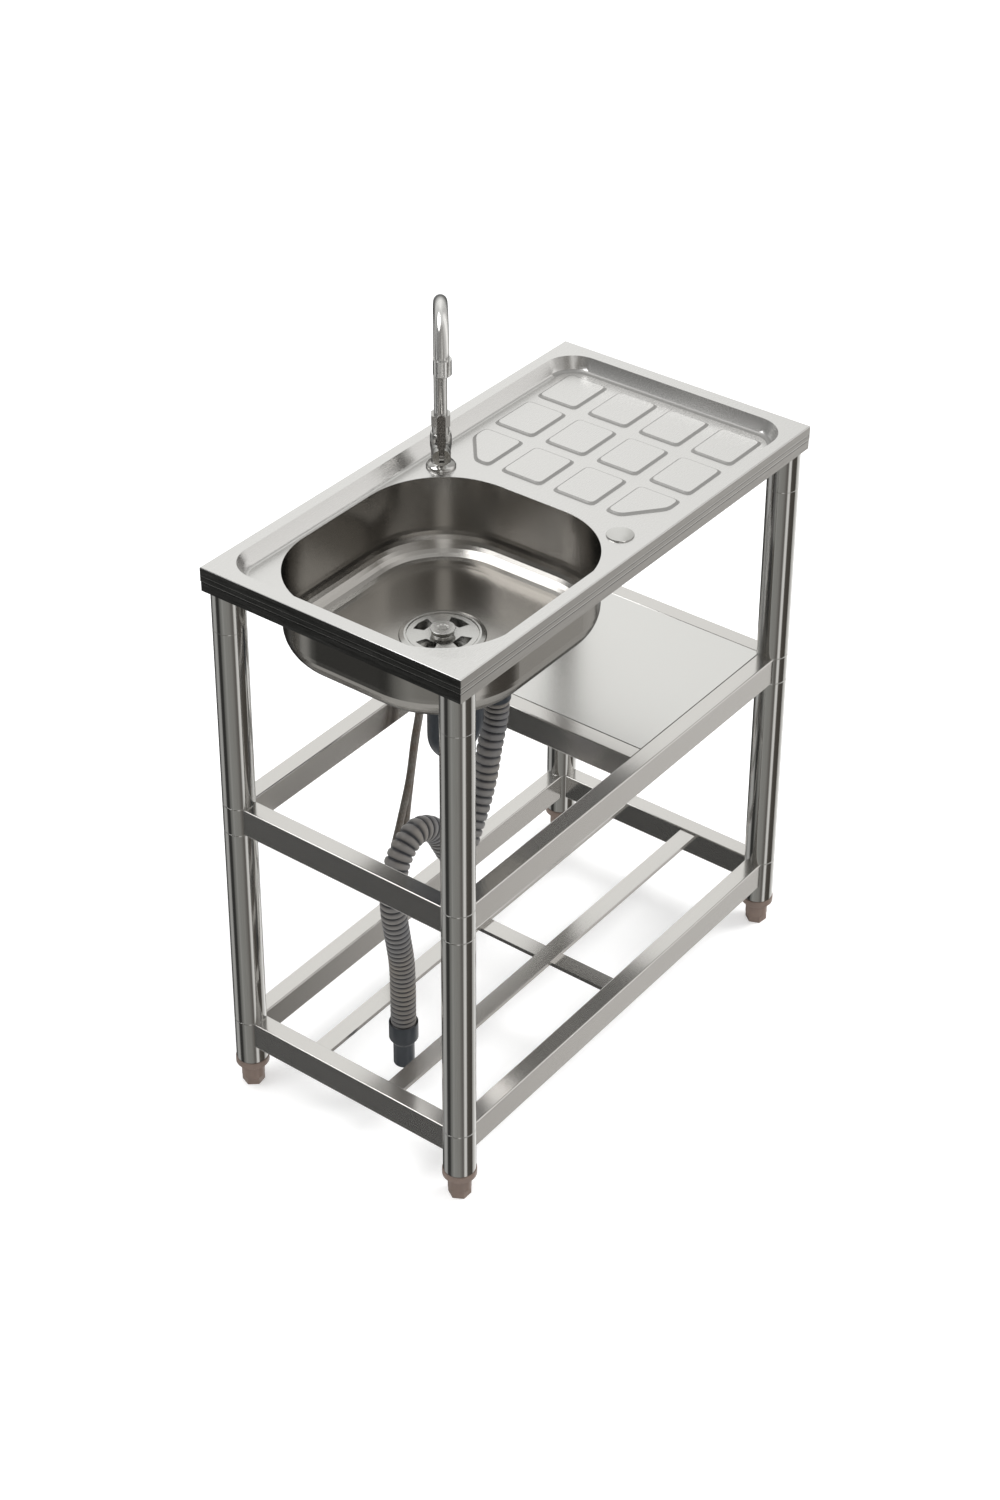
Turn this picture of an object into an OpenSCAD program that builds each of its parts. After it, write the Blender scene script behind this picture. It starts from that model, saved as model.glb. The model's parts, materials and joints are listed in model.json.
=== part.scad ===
// Free-standing kitchen sink: a pressed steel worktop with a bowl and a draining
// board, on a frame of round legs with a half shelf and a bottom rack.
// The floor is z = 0. The length runs along x with the bowl at -x, and the tap
// stands at the back, which is +y.

/* [Worktop] */
// Length of the worktop
top_length = 750; // [730:5:850]
// Depth of the worktop from front to back
top_depth = 400; // [395:5:450]
// Height of the worktop above the floor
top_height = 818; // [790:1:880]
// Thickness of the steel sheet
sheet = 1; // [0.8:0.1:1.2]
// Height of the folded skirt
skirt_height = 34; // [30:1:45]
// Height of the upper band of the skirt
skirt_band = 20; // [15:1:25]
// How far the lower band of the skirt steps in
band_step = 0.5; // [0.3:0.1:0.8]
// Flat rim at the two ends
rim_end = 20; // [16:1:24]
// Flat rim along the front and the back
rim_side = 17; // [14:1:20]
// Depth of the pressed recess
recess_depth = 20; // [15:1:25]
// Corner radius of the recess
recess_radius = 45; // [40:1:60]
// How far the recess wall leans in
recess_lean = 8; // [5:1:9]
// Width of the rounding at the foot of the recess wall
recess_foot = 6; // [4:1:7]

/* [Draining board] */
// Gap between the bowl and the nearest pads
board_gap = 31; // [26:1:45]
// Height of a raised pad
pad_height = 2.5; // [1.5:0.1:3.5]
// Width of the bevel round a pad
pad_bevel = 3; // [2:0.5:5]
// Corner radius of a pad
pad_radius = 8; // [4:1:12]
// Groove between pads along the length
groove_x = 16.5; // [14:0.5:20]
// Groove between pads across the depth
groove_y = 17.5; // [16:0.5:22]
// Gap between the pads and the wall at the end of the recess
pad_margin = 12; // [8:1:20]
// Gap between the pads and the walls at the sides of the recess
pad_side = 11.75; // [8:0.25:20]
// Number of pads along the length
pads_x = 3; // [1:1:3]
// Number of pads across the depth
pads_y = 4; // [2:1:4]
// Share of a pad's length that is cut off beside the tap hole and the spare hole
pad_cut_share = 0.633; // [0.3:0.01:0.65]

/* [Bowl] */
// Length of the bowl opening
bowl_length = 366; // [320:1:370]
// Gap between the bowl opening and the walls at the sides of the recess
bowl_side = 2; // [1:0.5:12]
// Depth of the bowl below the recess
bowl_depth = 112; // [90:1:160]
// Corner radius of the bowl
bowl_radius = 118; // [90:1:130]
// Radius between the walls and the bottom of the bowl
bowl_fillet = 38; // [20:1:50]
// Width of the lip that is welded under the worktop
bowl_lip = 4; // [3:0.5:6]
// Gap between the bowl opening and the wall at the end of the recess
bowl_margin = 3; // [1:0.5:6]
// How far the cap of the spare hole's plug stands past the hole
cover_lip = 2.5; // [2:0.1:4]
// Height of the dome of the plug
cover_rise = 3.6; // [2:0.1:5]

/* [Frame] */
// Outside diameter of the leg tubes
leg_d = 43; // [38:0.5:46]
// Wall of the leg tubes
tube_wall = 1; // [0.8:0.1:1.5]
// Gap between a leg and the inside of the skirt
leg_gap = 0.2; // [0.1:0.1:1]
// How far a socket reaches down from the top of the worktop
socket_drop = 87.5; // [70:0.5:110]
// Length of the reduced tube end inside the next tube
spigot = 20; // [15:1:30]
// Clearance round a reduced tube end
spigot_gap = 0.05; // [0.03:0.01:0.1]
// Thickness of the corner plate on a socket
corner_plate = 2; // [1.5:0.1:3]
// Width of the rails
rail_width = 25; // [20:1:30]
// Height of the rails
rail_height = 40; // [30:1:45]
// Wall of the rails
rail_wall = 1; // [0.8:0.1:1.5]
// Edge radius of the rails
rail_radius = 2; // [1.5:0.1:3]
// How far a corner tube stands past its rails
corner_margin = 0.5; // [0.3:0.1:2]

/* [Shelf and rack] */
// Height of the top of the shelf above the floor
shelf_height = 465; // [420:1:490]
// Length of the half shelf between its rails
shelf_length = 287; // [200:1:300]
// Depth of the folded edge of the shelf
shelf_fold = 14; // [10:1:20]
// Seam round the shelf
shelf_seam = 0.25; // [0.1:0.05:0.3]
// Height of the top of the rack rails above the floor
rack_height = 111; // [100:1:150]
// Width of a slat
slat_width = 25; // [20:1:35]
// Height of a slat
slat_height = 6; // [5:0.5:10]
// How far the slats lie below the top of the rails
slat_drop = 3; // [1:0.5:6]
// Distance of a slat from the middle of the rack
slat_offset = 61.5; // [45:0.5:80]

/* [Feet] */
// Height of the bottom of the leg tubes above the floor
tube_lift = 43.5; // [38:0.5:50]
// Diameter of the collar of a foot insert
insert_d = 45.2; // [44:0.1:48]
// Height of the collar of a foot insert
insert_collar = 10; // [8:0.5:12]
// Length of a foot insert inside its tube
insert_depth = 25; // [20:1:30]
// Size across the flats of a foot
foot_flats = 26.4; // [24:0.1:28]
// Height of the flats of a foot
foot_hex = 11.5; // [8:0.5:13]
// Diameter of the round shank of a foot above its flats
shank_d = 31; // [29:0.5:34]
// Diameter of the stud of a foot
stud_d = 10; // [8:0.5:12]
// Length of the stud of a foot
stud_length = 28; // [20:1:30]
// Clearance round the stud
stud_gap = 0.05; // [0.03:0.01:0.1]

/* [Tap] */
// How far the tap and the spare hole stand back from the end of the bowl
tap_setback = 5; // [0:1:8]
// Distance of the tap and of the spare hole from the foot of the recess wall
tap_inset = 27; // [26:1:30]
// Diameter of the tap hole and of the spare hole
hole_d = 31; // [29:0.5:32]
// Diameter of the tap's base
base_d = 39.5; // [38:0.5:42]
// Height of the tap's base
base_height = 5; // [4:0.5:8]
// Largest diameter of the tap's body
body_d = 28.5; // [28:0.5:32]
// Height of the valve's axis above the recess
valve_z = 30.5; // [28:0.5:36]
// Height of the tap's body above its base
body_height = 46; // [44:1:56]
// Diameter of the neck of the tap's body
neck_d = 22.5; // [22:0.5:26]
// Height of the neck of the tap's body
neck_height = 10.5; // [9:0.5:14]
// Diameter of the shank below the worktop
shank_low_d = 28; // [26:0.5:28]
// Length of the shank below the recess
shank_low = 52; // [40:1:70]
// Size across the flats of the nut under the worktop
backnut_flats = 36; // [33:1:40]
// Height of the nut under the worktop
backnut_height = 8; // [6:1:12]
// Direction in which the spout points
heading = 220; // [200:1:240]
// Diameter of the spout tube
spout_d = 17.5; // [16:0.5:19]
// Wall of the spout tube
spout_wall = 1.2; // [1:0.1:1.5]
// Height of the top of the spout above the worktop
spout_rise = 246; // [220:1:280]
// Radius of the bend of the spout
spout_bend = 49; // [45:1:60]
// Size of the nut that holds the spout
spout_nut_d = 28; // [27:0.5:32]
// Height of the nut that holds the spout
spout_nut_height = 17; // [14:1:20]
// Diameter of the outlet
outlet_d = 23.5; // [21:0.5:25]
// Height of the outlet
outlet_height = 22; // [18:1:26]
// Running clearance of the turning parts
run_gap = 0.05; // [0.03:0.01:0.1]
// Diameter of the valve housing
valve_d = 25; // [24:0.5:27]
// Reach of the valve housing from the tap's axis
valve_reach = 22; // [20:1:26]
// Gap below and above the bead of the spout
bead_gap = 0.3; // [0.2:0.1:0.5]
// Diameter of the lever's hub
hub_d = 24; // [23:0.5:25]
// Thickness of the lever's hub
hub_length = 11; // [10:0.5:14]
// Diameter of the hub's spindle
spindle_d = 8; // [7:0.5:9]
// Gap between the hub and the valve housing
hub_gap = 0.3; // [0.3:0.1:0.5]
// Width of the lever
lever_width = 11; // [9:0.2:12]
// Thickness of the lever
lever_thick = 5; // [4:0.5:5.5]
// Height of the lever above the hub's axis
lever_length = 61; // [45:1:70]
// Width of the lever's root in the hub
root_width = 6; // [5:0.5:7]
// Diameter of the lever's pin
pin_d = 3; // [2.5:0.5:4]

/* [Drain] */
// Diameter of the drain flange
flange_d = 111; // [108:1:116]
// Thickness of the drain flange
flange_thick = 3; // [2.5:0.1:4]
// Outside diameter of the drain cup
cup_d = 90; // [84:1:92]
// Depth of the drain cup
cup_depth = 40; // [32:1:44]
// Gap between the drain cup and the bowl
cup_gap = 1; // [0.5:0.1:1.5]
// Diameter of the strainer basket
basket_d = 90; // [89:0.5:91]
// Gap round the strainer basket in its flange
basket_gap = 1; // [0.5:0.1:2]
// Diameter of the knob's ring
knob_d = 33; // [30:1:36]
// Height of the knob
knob_height = 9; // [7:0.5:12]
// Diameter of the screw that holds the drain cup
screw_d = 6; // [5:0.5:8]
// Thickness of the drain gasket
gasket_thick = 2; // [1.5:0.1:3]
// Wall of the strainer body
body_wall = 3; // [2.5:0.1:4]
// Height of the strainer body
body_drop = 95; // [85:1:100]
// Outside diameter of the trap's tube
trap_d = 42; // [38:1:44]
// Wall of the trap's tube
trap_wall = 2.5; // [2:0.1:3]
// Depth of the lower bend of the trap below the strainer body
trap_drop = 55; // [50:1:80]
// Radius of the lower bend of the trap
trap_bend = 25; // [23:0.5:30]
// Radius of the upper bend of the trap
trap_return = 31; // [30:0.5:36]
// Height of the upper bend above the lower one
trap_step = 19; // [10:1:30]
// Diameter of the nut between the strainer body and the trap
trap_nut_d = 54; // [50:1:58]
// Height of the nut between the strainer body and the trap
trap_nut_height = 26; // [20:1:30]
// Diameter of the cuff on top of the drain hose
cuff_d = 38; // [37:0.5:41]
// Diameter of the spigot at the end of the drain hose
spigot_d = 28.5; // [26:0.5:32]
// Wall of the adapter at the end of the drain hose
adapter_wall = 2.5; // [2:0.1:3]
// Height of the cuff on top of the drain hose
cuff_height = 11; // [8:1:14]
// Height of the adapter's lower end above the floor
adapter_low = 51; // [44:1:58]
// Length of the adapter's spigot
spigot_length = 35; // [30:1:40]

/* [Hoses] */
// Diameter of the drain hose over its ribs
hose_d = 34.5; // [33:0.5:35]
// Depth of the grooves between the ribs
rib_depth = 2.4; // [1:0.1:3]
// Gap between the drain hose and its adapter
hose_gap = 0.3; // [0.2:0.1:0.5]
// Bore of the drain hose
hose_bore = 26; // [20:0.5:27]
// Height of the drain hose's lower end above the floor
hose_low = 112; // [106:1:124]
// Number of ribs on the drain hose
ribs = 72; // [60:1:90]
// Diameter of a supply hose
supply_d = 10; // [8:0.5:12]
// Distance between the two supply hoses
supply_pitch = 11.2; // [11:0.1:14]
// How far the supply hoses run sideways from the tap
supply_reach = 108; // [80:1:112]
// How far the end of each supply hose parts sideways from the other
supply_spread = 10; // [9:1:20]
// Height of the supply hoses' lower ends above the floor
supply_low = 166; // [160:1:190]
// Size across the flats of a supply nut
supply_flats = 24; // [22:1:30]
// Height of a supply nut
supply_nut = 16; // [12:1:20]
// Bore of a supply nut
supply_bore = 19; // [18:0.5:20]
// Length of the ferrule on the end of a supply hose
ferrule = 18; // [12:1:24]

/* [Hidden] */
$fn = 64;

// Overrun of a cut past the face that it opens
over = 1;
// Four corners in the order front left, front right, back right, back left
corners = [[-1, -1], [1, -1], [1, 1], [-1, 1]];

// Heights and places that follow from the sizes above
deck = top_height - recess_depth;
recess_length = top_length - 2 * rim_end;
recess_width = top_depth - 2 * rim_side;
recess_inset = recess_lean + recess_foot;
floor_radius = recess_radius - recess_inset;
floor_end = recess_length / 2 - recess_inset;
floor_side = recess_width / 2 - recess_inset;
bowl_x = bowl_length / 2 + bowl_margin - floor_end;
bowl_end = bowl_x + bowl_length / 2;
bowl_width = 2 * (floor_side - bowl_side);
bowl_floor = deck - bowl_depth;
board_length = floor_end - pad_margin - bowl_end - board_gap;
pad_length = (board_length - (pads_x - 1) * groove_x) / pads_x;
pad_width = (2 * (floor_side - pad_side) - (pads_y - 1) * groove_y) / pads_y;
pad_cut = pad_cut_share * pad_length;
tap_x = bowl_end - tap_setback;
tap_y = floor_side - tap_inset;
leg_r = leg_d / 2;
tube_bore = leg_d - 2 * tube_wall;
leg_x = top_length / 2 - band_step - sheet - leg_gap - leg_r;
leg_y = top_depth / 2 - band_step - sheet - leg_gap - leg_r;
socket_end = top_height - socket_drop;
shelf_top = shelf_height + corner_margin;
shelf_end = shelf_height - rail_height - corner_margin;
rack_top = rack_height + corner_margin;
rail_x = leg_x - rail_width / 2;
rail_y = leg_y - rail_width / 2;
middle_x = rail_x - shelf_length - rail_width / 2;
slat_top = rack_height - slat_drop;
insert_low = tube_lift - insert_collar;

// Outline of a rectangle with round corners
module round_outline(length, width, radius) {
    square([length - 2 * radius, width], center = true);
    square([length, width - 2 * radius], center = true);
    for (c = corners)
        translate([c[0] * (length / 2 - radius), c[1] * (width / 2 - radius)]) circle(radius);
}

// A block whose wall follows one profile all round a rectangle with round corners.
// Each point of the profile is [distance in from the outline, height].
module profiled_block(length, width, radius, profile) {
    last = len(profile) - 1;
    half = width / 2;
    end = length / 2 - radius;
    side = [for (p = profile) [half - p[0], p[1]]];
    other = [for (k = [last:-1:0]) [profile[k][0] - half, profile[k][1]]];
    edge = [for (p = profile) [radius - p[0], p[1]]];
    foot = [0, profile[0][1]];
    head = [0, profile[last][1]];
    rotate([90, 0, 90])
        linear_extrude(length - 2 * radius, center = true) polygon(concat(side, other));
    for (turn = [0, 180])
        rotate([0, 0, turn]) translate([end, 0, 0]) rotate([90, 0, 0])
            linear_extrude(width - 2 * radius, center = true) polygon(concat([foot], edge, [head]));
    for (k = [0:3])
        translate([corners[k][0] * end, corners[k][1] * (half - radius), 0]) rotate([0, 0, 180 + 90 * k])
            rotate_extrude(angle = 90) polygon(concat([foot], edge, [head]));
}

// A ring with a rectangular section
module ring(outer, inner, height) {
    difference() {
        cylinder(d = outer, h = height);
        translate([0, 0, -over]) cylinder(d = inner, h = height + 2 * over);
    }
}

// Faces of a skin over rings of n points each, in triangles, closed by the caller
function skin_faces(n, rings) = [
    for (k = [0:rings - 2], i = [0:n - 1])
        let (a = k * n + i, b = k * n + (i + 1) % n)
            each [[a, b + n, b], [a, a + n, b + n]]
];
function cap_faces(n, start) = [for (i = [1:n - 2]) [start, start + i, start + i + 1]];
function turned(faces) = [for (f = faces) [f[2], f[1], f[0]]];

// Solid over a list of rings, with flat ends
module lofted(rings) {
    n = len(rings[0]);
    count = len(rings);
    polyhedron(
        points = [for (r = rings) each r],
        faces = concat(
            skin_faces(n, count),
            cap_faces(n, 0),
            turned(cap_faces(n, (count - 1) * n))
        )
    );
}

// Points of a corner rounded from p - u to p + v
function soft_corner(a, p, b, r, steps) =
    let (u = (a - p) / norm(a - p) * r, v = (b - p) / norm(b - p) * r)
        [for (k = [0:steps]) let (t = k / steps) p + u * (1 - t) * (1 - t) + v * t * t];

// Outline of a pad, with one corner cut off where cut is 1 or -1
function pad_points(length, width, cut) =
    let (
        x = length / 2,
        y = width / 2,
        c = pad_cut * y / x,
        whole = [[-x, -y], [x, -y], [x, y], [-x, y]],
        low = [[pad_cut - x, -y], [x, -y], [x, y], [-x, y], [-x, c - y]],
        high = [[-x, -y], [x, -y], [x, y], [pad_cut - x, y], [-x, y - c]]
    )
    cut == 0 ? whole : cut < 0 ? low : high;
function pad_ring(length, width, cut, z) =
    let (p = pad_points(length, width, cut), n = len(p))
        [for (k = [0:n - 1])
            for (q = soft_corner(p[(k + n - 1) % n], p[k], p[(k + 1) % n], pad_radius, 3))
                [q[0], q[1], z]];

// One raised pad, grown by the given amount
module pad(cut, grow) {
    inner = pad_bevel - grow;
    lofted([
        pad_ring(pad_length + 2 * grow, pad_width + 2 * grow, cut, 0),
        pad_ring(pad_length + 2 * grow, pad_width + 2 * grow, cut, sheet),
        pad_ring(pad_length - 2 * inner, pad_width - 2 * inner, cut, sheet + pad_height)
    ]);
}

// All the pads of the draining board, standing in the recess floor
module pads(grow, z) {
    first_x = floor_end - pad_margin - pad_length / 2;
    for (i = [0:pads_x - 1], j = [0:pads_y - 1]) {
        edge = j == 0 ? -1 : j == pads_y - 1 ? 1 : 0;
        x = first_x - i * (pad_length + groove_x);
        y = (j - (pads_y - 1) / 2) * (pad_width + groove_y);
        translate([x, y, z]) pad(i == pads_x - 1 ? edge : 0, grow);
    }
}

module worktop() {
    // Wall of the recess, from its floor up to the rim
    wall = [
        [recess_inset, -recess_depth],
        [recess_lean + recess_foot / 2, recess_foot / 6 - recess_depth],
        [recess_lean, recess_foot / 2 - recess_depth],
        [0, 0]
    ];
    outside = concat([[wall[0][0], wall[0][1] - sheet]], [for (k = [1:3]) [wall[k][0] - sheet, wall[k][1]]]);
    color("gainsboro") difference() {
        union() {
            translate([0, 0, top_height - skirt_band]) linear_extrude(skirt_band) difference() {
                square([top_length, top_depth], center = true);
                square([top_length - 2 * sheet, top_depth - 2 * sheet], center = true);
            }
            translate([0, 0, top_height - skirt_height]) linear_extrude(skirt_height - skirt_band + sheet) difference() {
                step = band_step;
                square([top_length - 2 * step, top_depth - 2 * step], center = true);
                square([top_length - 2 * (step + sheet), top_depth - 2 * (step + sheet)], center = true);
            }
            translate([0, 0, top_height - sheet]) linear_extrude(sheet) difference() {
                square([top_length, top_depth], center = true);
                round_outline(recess_length, recess_width, recess_radius);
            }
            translate([0, 0, top_height]) difference() {
                profiled_block(recess_length, recess_width, recess_radius, outside);
                profiled_block(recess_length, recess_width, recess_radius, concat(wall, [[0, over]]));
            }
            pads(0, deck - sheet);
        }
        pads(-sheet / 2, deck - 2 * sheet);
        translate([bowl_x, 0, deck - sheet - over])
            linear_extrude(sheet + 2 * over) round_outline(bowl_length, bowl_width, bowl_radius);
        for (side = [-1, 1])
            translate([tap_x, side * tap_y, deck - sheet - over]) cylinder(d = hole_d, h = sheet + 2 * over);
    }
}

// Profile of the bowl from its bottom to its rim, grown by the given amount
function bowl_profile(grow, rim) =
    let (r = bowl_fillet + grow, z = bowl_floor - deck - grow, steps = 10)
        concat(
            [for (k = [0:steps]) let (a = 90 * k / steps) [r - grow - r * sin(a), z + r - r * cos(a)]],
            [[-grow, rim]]
        );

module sink_bowl() {
    color("silver") translate([bowl_x, 0, deck - sheet]) difference() {
        union() {
            translate([0, 0, -sheet]) linear_extrude(sheet)
                round_outline(bowl_length + 2 * bowl_lip, bowl_width + 2 * bowl_lip, bowl_radius + bowl_lip);
            translate([0, 0, sheet])
                profiled_block(bowl_length, bowl_width, bowl_radius, bowl_profile(sheet, -sheet));
        }
        translate([0, 0, sheet])
            profiled_block(bowl_length, bowl_width, bowl_radius, bowl_profile(0, over));
        translate([0, 0, bowl_floor - deck - over])
            cylinder(d = cup_d + 2 * cup_gap, h = sheet + 2 * over);
    }
}

// Plug of the spare hole, with a low dome and four snap legs
module hole_cover() {
    cap_r = hole_d / 2 + cover_lip;
    leg_w = hole_d / 6;
    leg_drop = 2 * leg_w;
    dome_shares = [[0.97, 0.5], [0.7, 0.8], [0.4, 0.94], [0, 1]];
    color("whitesmoke") translate([tap_x, -tap_y, deck]) {
        rotate_extrude() polygon(concat(
            [[0, 0], [cap_r, 0], [cap_r, cover_rise / 4]],
            [for (d = dome_shares) [d[0] * cap_r, d[1] * cover_rise]]
        ));
        for (turn = [0:90:270])
            rotate([0, 0, turn]) translate([hole_d / 2 - cover_lip, -leg_w / 2, -leg_drop])
                cube([2 * sheet, leg_w, leg_drop]);
    }
}

// A leg tube between two heights
module leg_tube(low, high) {
    translate([0, 0, low]) ring(leg_d, tube_bore, high - low);
}

// A reduced tube end that slides into the next tube
module tube_end(low, high) {
    fit_d = tube_bore - 2 * spigot_gap;
    translate([0, 0, low]) ring(fit_d, fit_d - 2 * tube_wall, high - low);
}

// Moves its children to leg number k
module at_leg(k) {
    translate([corners[k][0] * leg_x, corners[k][1] * leg_y, 0]) children();
}

module leg_sockets() {
    plate_top = deck - 2 * sheet;
    reach = leg_r + leg_gap;
    color("silver") for (k = [0:3]) at_leg(k) {
        leg_tube(socket_end, plate_top - corner_plate);
        tube_end(socket_end - spigot, socket_end + spigot);
        translate([-reach, -reach, plate_top - corner_plate]) cube([2 * reach, 2 * reach, corner_plate]);
        translate([0, 0, socket_end]) ring(tube_bore + tube_wall, tube_bore - 3 * tube_wall, tube_wall);
    }
}

module upper_leg(k) {
    color("silver") at_leg(k) leg_tube(shelf_top, socket_end);
}

module shelf_corner(k) {
    color("darkgray") at_leg(k) {
        leg_tube(shelf_end, shelf_top);
        tube_end(shelf_end - spigot, shelf_top + spigot);
        translate([0, 0, shelf_end]) ring(tube_bore + tube_wall, tube_bore - 3 * tube_wall, tube_wall);
        translate([0, 0, shelf_top - tube_wall]) ring(tube_bore + tube_wall, tube_bore - 3 * tube_wall, tube_wall);
    }
}

module lower_leg(k) {
    color("silver") at_leg(k) leg_tube(rack_top, shelf_end);
}

module rack_corner(k) {
    color("darkgray") at_leg(k) {
        leg_tube(tube_lift, rack_top);
        tube_end(rack_top - spigot, rack_top + spigot);
        translate([0, 0, rack_top - tube_wall]) ring(tube_bore + tube_wall, tube_bore - 3 * tube_wall, tube_wall);
    }
}

// A box rail along x, with its top at the given height
module box_rail(length, top) {
    translate([0, 0, top - rail_height / 2]) rotate([90, 0, 90]) linear_extrude(length, center = true) difference() {
        round_outline(rail_width, rail_height, rail_radius);
        square([rail_width - 2 * rail_wall, rail_height - 2 * rail_wall], center = true);
    }
}

// Takes the round legs out of the ends of its children, with a gap round them
module coped(gap = 0) {
    difference() {
        children();
        for (k = [0:3]) at_leg(k) cylinder(d = leg_d + 2 * gap, h = top_height);
    }
}

module long_rail(side, top) {
    color("darkgray") coped() translate([0, side * leg_y, 0]) box_rail(2 * leg_x, top);
}

module short_rail(side, top) {
    color("gray") coped() translate([side * leg_x, 0, 0]) rotate([0, 0, 90]) box_rail(2 * leg_y, top);
}

module shelf_rail_middle() {
    color("gray") translate([middle_x, 0, 0]) rotate([0, 0, 90]) box_rail(2 * rail_y, shelf_height);
}

// Flush shelf between the middle rail and the right rail, folded down all round
module shelf_panel() {
    size = [shelf_length - 2 * shelf_seam, 2 * (rail_y - shelf_seam)];
    hollow = [size[0] - 2 * sheet, size[1] - 2 * sheet];
    color("lightgray") coped(shelf_seam) translate([rail_x - shelf_length / 2, 0, shelf_height - shelf_fold]) difference() {
        translate([0, 0, shelf_fold / 2]) cube([size[0], size[1], shelf_fold], center = true);
        translate([0, 0, (shelf_fold - sheet - over) / 2])
            cube([hollow[0], hollow[1], shelf_fold - sheet + over], center = true);
    }
}

// A shallow channel along x with its open side down
module channel(length, width, height, top) {
    translate([0, 0, top - height / 2]) difference() {
        cube([length, width, height], center = true);
        translate([0, 0, -(sheet + over) / 2])
            cube([length + 2 * over, width - 2 * sheet, height - sheet + over], center = true);
    }
}

module rack_slat(side) {
    color("darkgray") translate([0, side * slat_offset, 0]) channel(2 * rail_x, slat_width, slat_height, slat_top);
}

module rack_brace() {
    color("gray") rotate([0, 0, 90]) channel(2 * rail_y, slat_width, slat_height, slat_top - slat_height);
}

module foot_inserts() {
    plug_r = tube_bore / 2 - spigot_gap;
    lip = insert_d / 2;
    bore_r = stud_d / 2 + stud_gap;
    color("rosybrown") for (k = [0:3]) at_leg(k) translate([0, 0, insert_low]) rotate_extrude() polygon([
        [bore_r, 0], [lip - tube_wall, 0], [lip, tube_wall], [lip, insert_collar],
        [plug_r, insert_collar], [plug_r, insert_collar + insert_depth], [bore_r, insert_collar + insert_depth]
    ]);
}

// How far each foot is screwed round, in degrees, in the order of the corners
foot_turns = [0, -7, 0, 10];
module foot(k) {
    hex_h = (foot_hex + insert_low) / 2;
    color("rosybrown") at_leg(k) {
        rotate([0, 0, foot_turns[k]]) cylinder(r = foot_flats / sqrt(3), h = hex_h, $fn = 6);
        translate([0, 0, foot_hex]) cylinder(d = shank_d, h = insert_low - foot_hex);
        translate([0, 0, insert_low]) cylinder(d = stud_d, h = stud_length);
    }
}

// Drain in the bottom of the bowl, from the flange down to the trap
cup_floor = bowl_floor - cup_depth;
cup_plate = 1.5 * sheet;
gasket_low = bowl_floor - sheet - gasket_thick;
body_low = bowl_floor - body_drop;
trap_height = body_low - trap_drop;
body_d_in = cup_d + 3 * cup_gap;
body_d_out = body_d_in + 2 * body_wall;
cone_top = cup_floor - 4 * body_wall;
cone_low = body_low + trap_nut_height;

module at_drain(z) {
    translate([bowl_x, 0, z]) children();
}

module drain_flange() {
    cup_r = cup_d / 2;
    lip = flange_d / 2;
    mouth = basket_d / 2 + basket_gap;
    slots = 6;
    slot_d = cup_d / 5;
    color("whitesmoke") at_drain(0) difference() {
        rotate_extrude() polygon([
            [screw_d / 2 + run_gap, cup_floor], [cup_r, cup_floor], [cup_r, bowl_floor],
            [lip, bowl_floor], [lip - sheet, bowl_floor + flange_thick / 2],
            [mouth + 3 * sheet, bowl_floor + flange_thick], [mouth + sheet / 2, bowl_floor + flange_thick],
            [mouth, bowl_floor + sheet], [cup_r - sheet, bowl_floor + sheet], [cup_r - sheet, cup_floor + cup_plate],
            [screw_d / 2 + run_gap, cup_floor + cup_plate]
        ]);
        for (k = [0:slots - 1])
            rotate([0, 0, k * 360 / slots]) translate([cup_d / 3.4, 0, cup_floor - over])
                cylinder(d = slot_d, h = cup_plate + 2 * over);
    }
}

// Lift-out strainer: a cover disc with four windows over a pierced cup
disc_z = bowl_floor + 2 * sheet;
basket_low = cup_floor + 2 * cup_plate + screw_d / 2;
module strainer_basket() {
    r = basket_d / 2;
    cup_r = cup_d / 2 - 3 * sheet;
    windows = 4;
    window_shares = [[0.5, -0.2], [0.8, -0.32], [0.86, 0], [0.8, 0.32], [0.5, 0.2]];
    holes = 16;
    hole_w = cup_r / 8;
    color("silver") at_drain(0) difference() {
        rotate_extrude() polygon([
            [0, disc_z - sheet], [cup_r - sheet, disc_z - sheet], [cup_r - 2 * sheet, basket_low + sheet],
            [0, basket_low + sheet], [0, basket_low], [cup_r - sheet, basket_low], [cup_r, disc_z - sheet],
            [r, disc_z - sheet], [r, disc_z], [0, disc_z]
        ]);
        for (k = [0:windows - 1])
            rotate([0, 0, 90 * k]) translate([0, 0, disc_z - sheet - over]) linear_extrude(sheet + 2 * over)
                polygon([for (w = window_shares) w * r]);
        for (k = [0:holes - 1], level = [0, 1])
            rotate([0, 0, (k + level / 2) * 360 / holes]) rotate([0, 90, 0])
                translate([-(basket_low + (2 + 2 * level) * hole_w), 0, cup_r - 4 * sheet])
                    cylinder(d = hole_w, h = 5 * sheet);
        for (k = [0:holes / 2 - 1])
            rotate([0, 0, k * 720 / holes]) translate([cup_r / 2, 0, basket_low - over])
                cylinder(d = hole_w, h = sheet + 2 * over);
    }
}

module basket_knob() {
    r = knob_d / 2;
    wall = 2 * sheet;
    color("whitesmoke") at_drain(disc_z) {
        rotate_extrude() polygon([
            [0, 0], [r - wall, 0], [r - wall, wall], [r / 3, wall], [r / 3, knob_height - wall],
            [r - wall, knob_height - wall], [r, knob_height - wall / 2], [r - wall / 2, knob_height],
            [r / 2, knob_height], [r / 3, knob_height - wall / 2], [0, knob_height - wall / 2]
        ]);
    }
}

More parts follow.
